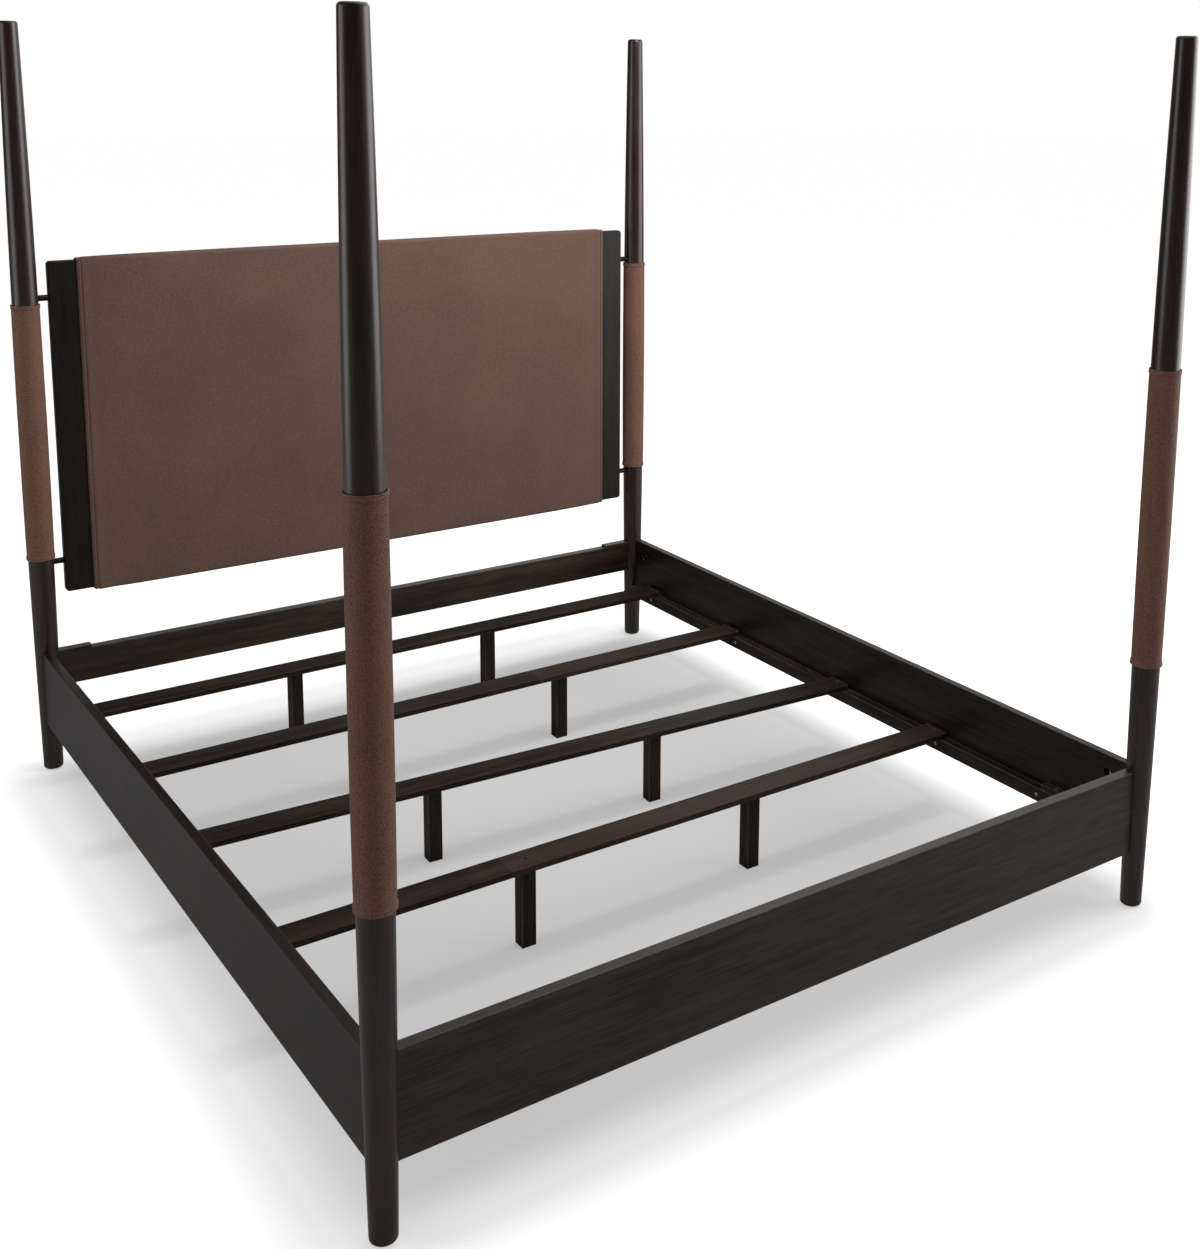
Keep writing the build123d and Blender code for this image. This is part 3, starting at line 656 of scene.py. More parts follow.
@dataclass
class TurnedPosts:
    """The four posts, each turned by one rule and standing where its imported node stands."""

    wood: bpy.types.Material
    shape: PostShape = field(default_factory=PostShape)
    rings: int = 150
    facets: int = 96

    def build_rule(self) -> NodeRule:
        """Builds the rule: a line of rings, close together at the ends, each as wide as the post is there.

        Returns:
            The rule, whose sizes are named inputs.
        """
        rule = NodeRule("turned_post")
        foot, top, belly = rule.size("Foot"), rule.size("Top"), rule.size("Belly")
        widest = rule.size("Belly Radius")
        foot_radius, top_radius = rule.size("Foot Radius"), rule.size("Top Radius")
        end_round = rule.size("End Round")
        axis = rule.size("Axis", "NodeSocketVector")
        rings, facets = rule.size("Rings", "NodeSocketInt"), rule.size("Facets", "NodeSocketInt")
        line = rule.add(
            "GeometryNodeMeshLine", {"mode": "OFFSET"}, {"Count": rings, "Offset": (0.0, 0.0, 0.0)}
        )
        index = rule.add("GeometryNodeInputIndex")
        last = rule.add("ShaderNodeMath", {"operation": "SUBTRACT"}, {0: rings, 1: 1.0})
        turn = rule.add("ShaderNodeMapRange", {}, {0: index, 2: last, 3: math.pi, 4: 0.0})
        wave = rule.add("ShaderNodeMath", {"operation": "COSINE"}, {0: turn})
        height = rule.add("ShaderNodeMapRange", {}, {0: wave, 1: -1.0, 2: 1.0, 3: foot, 4: top})
        up = rule.add("ShaderNodeCombineXYZ", {}, {2: height})
        spot = rule.add("ShaderNodeVectorMath", {"operation": "ADD"}, {0: axis, 1: up})
        stood = rule.add("GeometryNodeSetPosition", {}, {"Geometry": line, "Position": spot})
        slimming = []
        for end, end_radius in ((foot, foot_radius), (top, top_radius)):
            share = rule.add("ShaderNodeMapRange", {}, {0: height, 1: belly, 2: end, 3: 0.0, 4: 1.0})
            square = rule.add("ShaderNodeMath", {"operation": "POWER"}, {0: share, 1: 2.0})
            drop = rule.add("ShaderNodeMath", {"operation": "SUBTRACT"}, {0: widest, 1: end_radius})
            slimming.append(rule.add("ShaderNodeMath", {"operation": "MULTIPLY"}, {0: square, 1: drop}))
        radius = rule.add("ShaderNodeMath", {"operation": "SUBTRACT"}, {0: widest, 1: slimming[0]})
        radius = rule.add("ShaderNodeMath", {"operation": "SUBTRACT"}, {0: radius, 1: slimming[1]})
        from_foot = rule.add("ShaderNodeMath", {"operation": "SUBTRACT"}, {0: height, 1: foot})
        from_top = rule.add("ShaderNodeMath", {"operation": "SUBTRACT"}, {0: top, 1: height})
        near = rule.add("ShaderNodeMath", {"operation": "MINIMUM"}, {0: from_foot, 1: from_top})
        short = rule.add("ShaderNodeMath", {"operation": "SUBTRACT"}, {0: end_round, 1: near})
        short = rule.add("ShaderNodeMath", {"operation": "MAXIMUM"}, {0: short, 1: 0.0})
        short_square = rule.add("ShaderNodeMath", {"operation": "POWER"}, {0: short, 1: 2.0})
        round_square = rule.add("ShaderNodeMath", {"operation": "POWER"}, {0: end_round, 1: 2.0})
        left = rule.add("ShaderNodeMath", {"operation": "SUBTRACT"}, {0: round_square, 1: short_square})
        chord = rule.add("ShaderNodeMath", {"operation": "SQRT"}, {0: left})
        inset = rule.add("ShaderNodeMath", {"operation": "SUBTRACT"}, {0: end_round, 1: chord})
        radius = rule.add("ShaderNodeMath", {"operation": "SUBTRACT"}, {0: radius, 1: inset})
        path = rule.add("GeometryNodeMeshToCurve", {}, {0: stood})
        circle = rule.add(
            "GeometryNodeCurvePrimitiveCircle", {"mode": "RADIUS"}, {"Resolution": facets, "Radius": 1.0}
        )
        swept = rule.add(
            "GeometryNodeCurveToMesh", {},
            {"Curve": path, "Profile Curve": circle, "Scale": radius, "Fill Caps": True},
        )
        smooth = rule.add("GeometryNodeSetShadeSmooth", {"domain": "FACE"}, {"Geometry": swept})
        rule.end(smooth)
        return rule

    def build(self) -> list[bpy.types.Object]:
        """Turns the four posts.

        Returns:
            The posts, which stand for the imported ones.
        """
        rule = self.build_rule()
        made = []
        for spot in ("front_left", "front_right", "head_left", "head_right"):
            node = f"post_{spot}"
            low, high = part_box(node)
            axis = (low + high) / 2
            values = {
                "Foot": self.shape.foot, "Top": self.shape.top, "Belly": self.shape.belly,
                "Belly Radius": self.shape.belly_radius, "Foot Radius": self.shape.foot_radius,
                "Top Radius": self.shape.top_radius, "End Round": self.shape.end_round,
                "Axis": (axis.x, axis.y, 0.0), "Rings": self.rings, "Facets": self.facets,
                "Material": self.wood,
            }
            post = rule.make(f"turned_{node}", bpy.data.meshes.new(node), values)
            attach(post, BODY)
            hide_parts(node)
            made.append(post)
        return made


@dataclass
class StitchRows:
    """Rows of thread stitches, laid by one rule along any line."""

    thread: bpy.types.Material
    pitch: float = 0.0036
    length: float = 0.0029
    width: float = 0.0011
    rule: NodeRule = field(init=False)

    def __post_init__(self) -> None:
        """Builds the rule: the line is cut at an even pitch and each cut gets one stitch lying along it."""
        rule = NodeRule("stitch_row")
        pitch, length, width = rule.size("Pitch"), rule.size("Length"), rule.size("Width")
        path = rule.add("GeometryNodeMeshToCurve", {}, {0: rule.given.outputs[0]})
        cut = rule.add("GeometryNodeResampleCurve", {"mode": "LENGTH"}, {"Curve": path, "Length": pitch})
        sized = rule.add("ShaderNodeCombineXYZ", {}, {0: length, 1: width, 2: width})
        bead = rule.add("GeometryNodeMeshUVSphere", {}, {"Segments": 6, "Rings": 4, "Radius": 0.5})
        smooth = rule.add("GeometryNodeSetShadeSmooth", {"domain": "FACE"}, {"Geometry": bead})
        along = rule.add("GeometryNodeInputTangent")
        turned = rule.add("FunctionNodeAlignRotationToVector", {"axis": "X"}, {"Vector": along})
        laid = rule.add(
            "GeometryNodeInstanceOnPoints", {},
            {"Points": cut, "Instance": smooth, "Rotation": turned, "Scale": sized},
        )
        rule.end(laid)
        self.rule = rule

    def sew(self, name: str, lines: list[tuple[list[Vector], bool]]) -> bpy.types.Object:
        """Sews stitches along some lines.

        Args:
            name: The new piece's name.
            lines: Each line's points, and whether it closes on itself.

        Returns:
            All the stitches as one piece.
        """
        points: list[Vector] = []
        edges: list[tuple[int, int]] = []
        for line, closed in lines:
            start = len(points)
            points.extend(line)
            edges.extend((start + place, start + place + 1) for place in range(len(line) - 1))
            if closed:
                edges.append((len(points) - 1, start))
        host = mesh_from(name, points, [], edges)
        values = {"Pitch": self.pitch, "Length": self.length, "Width": self.width, "Material": self.thread}
        row = self.rule.make(name, host, values)
        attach(row, BODY)
        return row


@dataclass
class LeatherSleeve:
    """A leather sleeve drawn tight round a post, hemmed at both ends and closed by a seam at the back."""

    spot: str
    leather: bpy.types.Material
    rows: StitchRows
    post: PostShape
    hem_curl: float = 0.0
    thickness: float = 0.0022
    hem: float = 0.0108
    hem_stand: float = 0.0015
    stitch_from_end: float = 0.0046
    groove: float = 0.0013
    edge_round: float = 0.0013
    seam_angle: float = math.pi / 2
    seam_groove: float = 0.0016
    seam_allowance: float = 0.004
    wide_steps: int = 84

    def outer(self, height: float, low: float, high: float) -> float:
        """The sleeve's outer radius at a height, with its hems, stitch grooves and rounded edges.

        Args:
            height: The height above the floor.
            low: The sleeve's lower end.
            high: The sleeve's upper end.

        Returns:
            The radius, in metres.
        """
        depth = min(height - low, high - height)
        rise = smooth_step((self.hem - depth) / (1.6 * MM))
        dip = math.exp(-((depth - self.stitch_from_end) / (0.9 * MM)) ** 2)
        curl = self.hem_curl * smooth_step(1 - depth / self.hem) if height - low < self.hem else 0.0
        stand = self.thickness + 0.3 * MM + self.hem_stand * rise + curl - self.groove * dip
        return self.post.radius(height) + stand - round_over(depth, self.edge_round)

    def heights(self, low: float, high: float) -> list[float]:
        """Gives the heights of the sleeve's rings, close together over the hems.

        Args:
            low: The sleeve's lower end.
            high: The sleeve's upper end.

        Returns:
            The heights, from the bottom up.
        """
        # Millimetres in from an end: over its rounded edge, the stitch groove and the step behind the hem.
        hem_part = [0.0, 0.15, 0.5, 1.0, 1.6, 2.4, 3.2, 3.9, 4.6, 5.3, 6.0, 7.2]
        step_part = [8.4, 9.4, 10.2, 10.9, 11.8, 14.0, 20.0]
        ends = [step * MM for step in hem_part + step_part]
        middle = high - low - 2 * ends[-1]
        count = round(middle / 0.02)
        body = [low + ends[-1] + middle * step / count for step in range(1, count)]
        return [low + step for step in ends] + body + [high - step for step in reversed(ends)]

    def angles(self) -> list[float]:
        """Gives the angles of the sleeve's points round the post, close together at the closing seam.

        Returns:
            The angles, in radians.
        """
        close = [0.6, 1.4, 2.6, 4.2]
        fine = sorted([-step for step in close] + [0.0] + close)
        arc = [self.seam_angle + step * MM / self.post.belly_radius for step in fine]
        rest = 2 * math.pi - (arc[-1] - arc[0])
        return arc + [arc[-1] + rest * step / self.wide_steps for step in range(1, self.wide_steps)]

    def build(self) -> bpy.types.Object:
        """Builds the sleeve and its stitches.

        Returns:
            The sleeve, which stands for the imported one.
        """
        node = f"post_sleeve_{self.spot}"
        low_corner, high_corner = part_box(node)
        axis = (low_corner + high_corner) / 2
        low, high = low_corner.z, high_corner.z
        angles, heights = self.angles(), self.heights(low, high)
        points: list[Vector] = []
        for height in heights:
            radius = self.outer(height, low, high)
            for angle in angles:
                off = abs(angle - self.seam_angle) * self.post.belly_radius
                valley = self.seam_groove * math.exp(-(off / (0.8 * MM)) ** 2)
                lips = 0.35 * MM * math.exp(-((off - 3 * MM) / (1.8 * MM)) ** 2)
                spread = Vector((math.cos(angle) * 1.5, math.sin(angle) * 1.5, height * 9))
                slack = 0.22 * MM * noise.noise(spread)
                points.append(self.place(axis, radius - (valley - lips) + slack, angle, height))
        # The inner face, from the upper end down, lies 0.12 mm off the post.
        steps = (self.edge_round, 0.05, 0.2)
        inner = [high - step for step in steps] + [low + step for step in reversed(steps)]
        for height in inner:
            radius = self.post.radius(height) + 0.12 * MM
            points.extend(self.place(axis, radius, angle, height) for angle in angles)
        around = len(angles)
        rows = len(heights) + len(inner)
        faces = grid_faces(rows, around)
        last = (rows - 1) * around
        faces.extend(
            [last + place, last + (place + 1) % around, (place + 1) % around, place]
            for place in range(around)
        )
        sleeve = new_object(f"leather_{node}", mesh_from(node, points, faces))
        sleeve.data.materials.append(self.leather)
        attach(sleeve, BODY)
        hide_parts(node)
        stitches = self.sew(axis, low, high)
        width = 2 * math.pi * self.outer((low + high) / 2, low, high)
        return sleeve

    def place(self, axis: Vector, radius: float, angle: float, height: float) -> Vector:
        """Gives the point at a radius, angle and height round the post's axis."""
        return Vector((axis.x + radius * math.cos(angle), axis.y + radius * math.sin(angle), height))

    def sew(self, axis: Vector, low: float, high: float) -> bpy.types.Object:
        """Sews both hems and both sides of the closing seam.

        Args:
            axis: A point on the post's axis.
            low: The sleeve's lower end.
            high: The sleeve's upper end.

        Returns:
            The stitches.
        """
        lines: list[tuple[list[Vector], bool]] = []
        for height in (low + self.stitch_from_end, high - self.stitch_from_end):
            radius = self.outer(height, low, high) + 0.15 * MM
            ring = [self.place(axis, radius, 2 * math.pi * step / 120, height) for step in range(120)]
            lines.append((ring, True))
        for side in (-1, 1):
            run = []
            for step in range(60):
                height = low + self.hem + (high - low - 2 * self.hem) * step / 59
                angle = self.seam_angle + side * 3.2 * MM / self.post.belly_radius
                run.append(self.place(axis, self.outer(height, low, high) + 0.4 * MM, angle, height))
            lines.append((run, False))
        stitches = self.rows.sew(f"sleeve_stitches_{self.spot}", lines)
        return stitches


@dataclass
class PaddedHeadboard:
    """Leather pulled over wadding round the headboard's panel, drawn in and hemmed at both ends."""

    leather: bpy.types.Material
    rows: StitchRows
    corner: float = 0.0068
    draw: float = 0.0038
    taper: float = 0.034
    hem: float = 0.0105
    groove: float = 0.0018
    edge_round: float = 0.0022
    crown: float = 0.0022
    low: Vector = field(init=False)
    high: Vector = field(init=False)

    def __post_init__(self) -> None:
        """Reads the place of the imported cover."""
        self.low, self.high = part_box("headboard_cover")

    def inset(self, x: float, turn: float) -> float:
        """How far the leather stands in from the full pad at one place.

        Args:
            x: The place across the bed.
            turn: The place round the board, from 0 to 1.

        Returns:
            The distance, in metres.
        """
        depth = min(x - self.low.x, self.high.x - x)
        drawn = self.draw * max(1 - depth / self.taper, 0.0) ** 2
        seam = self.groove * math.exp(-((depth - self.hem) / (1.1 * MM)) ** 2)
        swell = 0.5 * MM * math.exp(-((depth - 5 * MM) / (3.2 * MM)) ** 2)
        side = 7.0 if x < 0 else 31.0
        wave = noise.noise(Vector((turn * 46, side, 0.0))) * math.exp(-(depth / 0.05) ** 2)
        return drawn + seam - swell + 0.8 * MM * wave + round_over(depth, self.edge_round)

    def section(self, inset: float) -> list[Vector]:
        """The board's outline seen from its end, as a rectangle with rounded corners.

        Args:
            inset: How far it stands in from the full pad.

        Returns:
            Points round the outline, from the middle of the front downwards.
        """
        middle = (self.low + self.high) / 2
        half_y = (self.high.y - self.low.y) / 2 - inset
        half_z = (self.high.z - self.low.z) / 2 - inset
        radius = max(self.corner - inset, 0.4 * MM)
        outline: list[Vector] = []
        corners = [(-1, -1, math.pi), (1, -1, 1.5 * math.pi), (1, 1, 0.0), (-1, 1, 0.5 * math.pi)]
        for sign_y, sign_z, start in corners:
            for step in range(7):
                angle = start + math.pi / 2 * step / 6
                y = middle.y + sign_y * (half_y - radius) + radius * math.cos(angle)
                z = middle.z + sign_z * (half_z - radius) + radius * math.sin(angle)
                outline.append(Vector((0.0, y, z)))
            # The board's two faces are tall and get many points; its top and bottom get few.
            count = 58 if sign_y != sign_z else 3
            after = corners[(corners.index((sign_y, sign_z, start)) + 1) % 4]
            next_y = middle.y + after[0] * (half_y - radius) + radius * math.cos(after[2])
            next_z = middle.z + after[1] * (half_z - radius) + radius * math.sin(after[2])
            last = outline[-1]
            for step in range(1, count):
                share = step / count
                y = last.y + (next_y - last.y) * share
                z = last.z + (next_z - last.z) * share
                outline.append(Vector((0.0, y, z)))
        return outline

    def columns(self, step: float) -> list[float]:
        """The places across the bed where the pad has a ring, close together at its ends.

        Args:
            step: The gap between rings in the middle.

        Returns:
            The places, from left to right.
        """
        # Millimetres in from an end: over its rounded edge, the hem, the stitch groove and the drawn-in part.
        hem_part = [0.0, 0.3, 0.8, 1.5, 2.4, 3.8, 5.4, 7.2, 8.6, 9.4, 10.0, 10.5, 11.0, 11.6]
        drawn_part = [12.6, 14.4, 17.5, 22.0, 28.0, 36.0]
        ends = [part * MM for part in hem_part + drawn_part]
        middle = self.high.x - self.low.x - 2 * ends[-1]
        count = round(middle / step)
        body = [self.low.x + ends[-1] + middle * part / count for part in range(1, count)]
        return [self.low.x + part for part in ends] + body + [self.high.x - part for part in reversed(ends)]

    def ring(self, x: float, extra: Callable[[int], float]) -> list[Vector]:
        """One ring of the pad.

        Args:
            x: Its place across the bed.
            extra: How far each of its points swells outwards.

        Returns:
            The ring's points.
        """
        full = self.section(0.0)
        made = []
        for turn in range(len(full)):
            inset = self.inset(x, turn / len(full)) - extra(turn)
            spot = self.section_point(full, turn, inset)
            made.append(Vector((x, spot.y, spot.z)))
        return made

    def section_point(self, full: list[Vector], turn: int, inset: float) -> Vector:
        """Moves one point of the full outline in along its own direction.

        Args:
            full: The full outline.
            turn: Which point.
            inset: How far in.

        Returns:
            The moved point.
        """
        before, after = full[turn - 1], full[(turn + 1) % len(full)]
        along = after - before
        out = Vector((0.0, along.z, -along.y)).normalized()
        middle = (self.low + self.high) / 2
        if out.dot(full[turn] - Vector((0.0, middle.y, middle.z))) < 0:
            out = -out
        return full[turn] - out * inset

    def simulate(self, places: list[float]) -> list[list[float]]:
        """Inflates the pad as cloth, held at its hems, and reads how far each point swells.

        Args:
            places: Where the simulated pad's rings are.

        Returns:
            For each ring, how far each of its points moved outwards.
        """
        start = 0.0015
        points: list[Vector] = []
        for x in places:
            points.extend(self.ring(x, lambda turn: -start))
        around = len(points) // len(places)
        faces = grid_faces(len(places), around)
        faces.append(list(range(around))[::-1])
        faces.append([len(points) - around + place for place in range(around)])
        pad = new_object("pad_for_simulation", mesh_from("pad", points, faces))
        held = pad.vertex_groups.new(name="held")
        pinned = [
            place for place, spot in enumerate(points)
            if min(spot.x - self.low.x, self.high.x - spot.x) <= self.hem + 0.001
            or spot.y > self.high.y - 0.004
        ]
        held.add(pinned, 1.0, "REPLACE")
        cloth = pad.modifiers.new("cloth", "CLOTH")
        cloth.settings.quality = 4
        cloth.settings.mass = 0.4
        cloth.settings.tension_stiffness = 60
        cloth.settings.compression_stiffness = 60
        cloth.settings.bending_stiffness = 6
        cloth.settings.use_pressure = True
        cloth.settings.uniform_pressure_force = 4
        cloth.settings.effector_weights.gravity = 0
        cloth.settings.vertex_group_mass = "held"
        cloth.collision_settings.use_collision = False
        for step in range(1, 21):
            bpy.context.scene.frame_set(step)
        solved = pad.evaluated_get(bpy.context.evaluated_depsgraph_get())
        moved = [vertex.co.copy() for vertex in solved.data.vertices]
        bpy.context.scene.frame_set(1)
        bpy.data.objects.remove(pad)
        swells = []
        for row in range(len(places)):
            swell = []
            for turn in range(around):
                place = row * around + turn
                distance = (moved[place] - points[place]).length
                swell.append(self.crown * distance / (distance + self.crown) * 1.6)
            swells.append(swell)
        return swells

    def swell_at(self, places: list[float], swells: list[list[float]], x: float, turn: int) -> float:
        """Reads the simulated swelling between two rings.

        Args:
            places: Where the simulated rings are.
            swells: How far their points swelled.
            x: The place across the bed.
            turn: Which point of the ring.

        Returns:
            The swelling there, in metres.
        """
        for before in range(len(places) - 1):
            if x <= places[before + 1]:
                gap = places[before + 1] - places[before]
                share = min(max((x - places[before]) / gap, 0.0), 1.0)
                return swells[before][turn] * (1 - share) + swells[before + 1][turn] * share
        return swells[-1][turn]

    def build(self) -> bpy.types.Object:
        """Builds the padded leather and its stitches.

        Returns:
            The pad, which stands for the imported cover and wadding.
        """
        places = [self.low.x + (self.high.x - self.low.x) * part / 96 for part in range(97)]
        around = len(self.section(0.0))
        swells = self.simulate(places)
        columns = self.columns(0.018)
        points: list[Vector] = []
        # Each end is folded in: three rings, given as millimetres in from the end and down from the face.
        folds = ((2.0, 6.3), (0.6, 5.4), (0.2, 4.4))
        for depth, down in folds:
            points.extend(self.ring(self.low.x + depth * MM, lambda turn: self.draw - down * MM))
        for x in columns:
            points.extend(self.ring(x, lambda turn: self.swell_at(places, swells, x, turn) - self.settle(x)))
        for depth, down in reversed(folds):
            points.extend(self.ring(self.high.x - depth * MM, lambda turn: self.draw - down * MM))
        rows = len(points) // around
        faces = grid_faces(rows, around)
        faces.append(list(range(around))[::-1])
        faces.append([len(points) - around + place for place in range(around)])
        mesh = mesh_from("headboard_leather", points, faces)
        self.point_outwards(mesh)
        pad = new_object("leather_headboard_pad", mesh)
        pad.data.materials.append(self.leather)
        rounded = pad.modifiers.new("rounded", "SUBSURF")
        rounded.levels = rounded.render_levels = 1
        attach(pad, BODY)
        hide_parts("headboard_cover", "headboard_wadding")
        self.sew()
        return pad

    def settle(self, x: float) -> float:
        """How far the pad starts inside its space, so that its crown fits."""
        return 1.2 * MM * smooth_step(min(x - self.low.x, self.high.x - x) / 0.03)

    def point_outwards(self, mesh: bpy.types.Mesh) -> None:
        """Turns every face outwards.

        Args:
            mesh: The mesh, which is changed in place.
        """
        turned = bmesh.new()
        turned.from_mesh(mesh)
        bmesh.ops.recalc_face_normals(turned, faces=turned.faces)
        turned.to_mesh(mesh)
        turned.free()

    def sew(self) -> bpy.types.Object:
        """Sews one row round the board at each end's hem.

        Returns:
            The stitches.
        """
        lines = []
        for x in (self.low.x + self.hem, self.high.x - self.hem):
            lines.append((self.ring(x, lambda turn: 0.35 * MM), True))
        stitches = self.rows.sew("headboard_stitches", lines)
        return stitches


@dataclass
class WoodScrews:
    """The countersunk screws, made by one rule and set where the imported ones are."""

    zinc: bpy.types.Material
    black: bpy.types.Material
    head: float = 0.009
    head_depth: float = 0.0024
    shank: float = 0.0045
    recess: float = 0.0011
    rule: NodeRule = field(init=False)

    def __post_init__(self) -> None:
        """Builds the rule: a cone head with a crossed recess on a shank, turned by a fixed seed."""
        rule = NodeRule("wood_screw")
        head, depth, shank = rule.size("Head Diameter"), rule.size("Head Depth"), rule.size("Shank Diameter")
        length, recess = rule.size("Length"), rule.size("Recess Width")
        aim = rule.size("Aim", "NodeSocketVector")
        head_radius = rule.add("ShaderNodeMath", {"operation": "MULTIPLY"}, {0: head, 1: 0.5})
        shank_radius = rule.add("ShaderNodeMath", {"operation": "MULTIPLY"}, {0: shank, 1: 0.5})
        cone = rule.add(
            "GeometryNodeMeshCone", {},
            {"Vertices": 20, "Radius Top": head_radius, "Radius Bottom": shank_radius, "Depth": depth},
        )
        drop = rule.add("ShaderNodeMath", {"operation": "MULTIPLY"}, {0: depth, 1: -1.0})
        down = rule.add("ShaderNodeCombineXYZ", {}, {2: drop})
        seated = rule.add("GeometryNodeTransform", {}, {"Geometry": cone, "Translation": down})
        reach = rule.add("ShaderNodeMath", {"operation": "MULTIPLY"}, {0: head, 1: 0.62})
        deep = rule.add("ShaderNodeMath", {"operation": "MULTIPLY"}, {0: depth, 1: 1.1})
        arms = []
        for width, breadth in ((reach, recess), (recess, reach)):
            sides = rule.add("ShaderNodeCombineXYZ", {}, {0: width, 1: breadth, 2: deep})
            arms.append(rule.add("GeometryNodeMeshCube", {}, {"Size": sides}))
        cut = rule.add(
            "GeometryNodeMeshBoolean", {"operation": "DIFFERENCE", "solver": "EXACT"}, {0: seated}
        )
        for arm in arms:
            rule.tree.links.new(arm.outputs[0], cut.inputs[1])
        under = rule.add("ShaderNodeMath", {"operation": "SUBTRACT"}, {0: length, 1: depth})
        half = rule.add("ShaderNodeMath", {"operation": "MULTIPLY_ADD"}, {0: under, 1: -0.5, 2: drop})
        middle = rule.add("ShaderNodeCombineXYZ", {}, {2: half})
        stem = rule.add(
            "GeometryNodeMeshCylinder", {},
            {"Vertices": 12, "Radius": shank_radius, "Depth": under},
        )
        stem_set = rule.add("GeometryNodeTransform", {}, {"Geometry": stem, "Translation": middle})
        screw = rule.add("GeometryNodeJoinGeometry")
        for part in (cut, stem_set):
            rule.tree.links.new(part.outputs[0], screw.inputs[0])
        turned = rule.add("FunctionNodeAlignRotationToVector", {"axis": "Z"}, {"Vector": aim})
        spin = rule.add("FunctionNodeRandomValue", {"data_type": "FLOAT"}, {2: 0.0, 3: 1.57, "Seed": 7})
        twist = rule.add("ShaderNodeCombineXYZ", {}, {2: spin.outputs[1]})
        both = rule.add(
            "FunctionNodeRotateRotation", {"rotation_space": "LOCAL"},
            {"Rotation": turned, "Rotate By": twist},
        )
        laid = rule.add(
            "GeometryNodeInstanceOnPoints", {},
            {"Points": rule.given.outputs[0], "Instance": screw, "Rotation": both},
        )
        rule.end(laid)
        self.rule = rule

    def drive(
        self, name: str, heads: list[Vector], aim: Vector, length: float, metal: bpy.types.Material
    ) -> bpy.types.Object:
        """Drives a set of screws that all point the same way.

        Args:
            name: The new piece's name.
            heads: The middle of each head's face.
            aim: The way the heads face.
            length: How long a screw is.
            metal: Its finish.

        Returns:
            The screws as one piece.
        """
        values = {
            "Head Diameter": self.head - 0.0002, "Head Depth": self.head_depth, "Shank Diameter": self.shank,
            "Length": length, "Recess Width": self.recess, "Aim": tuple(aim), "Material": metal,
        }
        return self.rule.make(name, mesh_from(name, heads, []), values)

    def build(self) -> list[bpy.types.Object]:
        """Drives every screw of the frame.

        Returns:
            The four sets of screws.
        """
        made = []
        for node, metal in (("slat_screws", self.zinc), ("leg_screws", self.black)):
            spots = solid_places(node)
            heads = [Vector(((low.x + high.x) / 2, (low.y + high.y) / 2, high.z)) for low, high in spots]
            length = spots[0][1].z - spots[0][0].z
            made.append((self.drive(f"driven_{node}", heads, Vector((0, 0, 1)), length, metal), node))
        for side in Side:
            spots = [spot for spot in solid_places("ledger_screws") if spot[0].x * side.value > 0]
            heads = [
                Vector(((low if side is Side.RIGHT else high).x, (low.y + high.y) / 2, (low.z + high.z) / 2))
                for low, high in spots
            ]
            length = spots[0][1].x - spots[0][0].x
            name = f"driven_ledger_screws_{side.name.lower()}"
            screws = self.drive(name, heads, Vector((-side.value, 0, 0)), length, self.zinc)
            made.append((screws, "ledger_screws"))
        for piece, node in made:
            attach(piece, BODY)
            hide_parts(node)
        return [piece for piece, _ in made]


@dataclass
class FrameBoards:
    """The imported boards, legs and hidden hardware, which keep their shape and get their finish."""

    finishes: Finishes

    def dress(self) -> int:
        """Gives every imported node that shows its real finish.

        Returns:
            How many nodes were dressed.
        """
        choice: dict[str, bpy.types.Material] = {
            "side_rail_left": self.finishes.side_board_painted_shade, "side_rail_right": self.finishes.side_board_painted_shade,
            "foot_rail": self.finishes.cross_board, "head_crossrail": self.finishes.cross_board,
            "headboard_panel": self.finishes.panel,
            "ledger_left": self.finishes.ledger, "ledger_right": self.finishes.ledger,
            "ledger_packer_left": self.finishes.ledger, "ledger_packer_right": self.finishes.ledger,
            "headboard_standoffs": self.finishes.dark_steel, "standoff_studs": self.finishes.dark_steel,
            "rail_studs": self.finishes.zinc, "rail_nuts": self.finishes.zinc,
            "rail_washers": self.finishes.zinc, "rail_dowels": self.finishes.beech,
            "post_glides": self.finishes.nylon,
        }
        for row in range(1, 5):
            choice[f"slat_{row}"] = self.finishes.slats[row]
            for side in Side:
                choice[f"support_leg_{row}_{side.name.lower()}"] = self.finishes.leg
        dressed = 0
        for name, material in choice.items():
            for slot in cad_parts[name].material_slots:
                slot.material = material
            dressed += 1
        return dressed


@dataclass(frozen=True)
class Softbox:
    """One soft lamp: where it hangs, what it faces, its size in metres and its power in watts."""

    name: str
    spot: tuple[float, float, float]
    target: tuple[float, float, float]
    wide: float
    tall: float
    power: float

    def hang(self) -> bpy.types.Object:
        """Hangs the lamp.

        Returns:
            The lamp.
        """
        lamp = bpy.data.lights.new(self.name, "AREA")
        lamp.shape = "RECTANGLE"
        lamp.size, lamp.size_y, lamp.energy = self.wide, self.tall, self.power
        hung = bpy.data.objects.new(self.name, lamp)
        hung.location = self.spot
        hung.rotation_euler = (Vector(self.target) - Vector(self.spot)).to_track_quat("-Z", "Y").to_euler()
        bpy.context.scene.collection.objects.link(hung)
        return hung


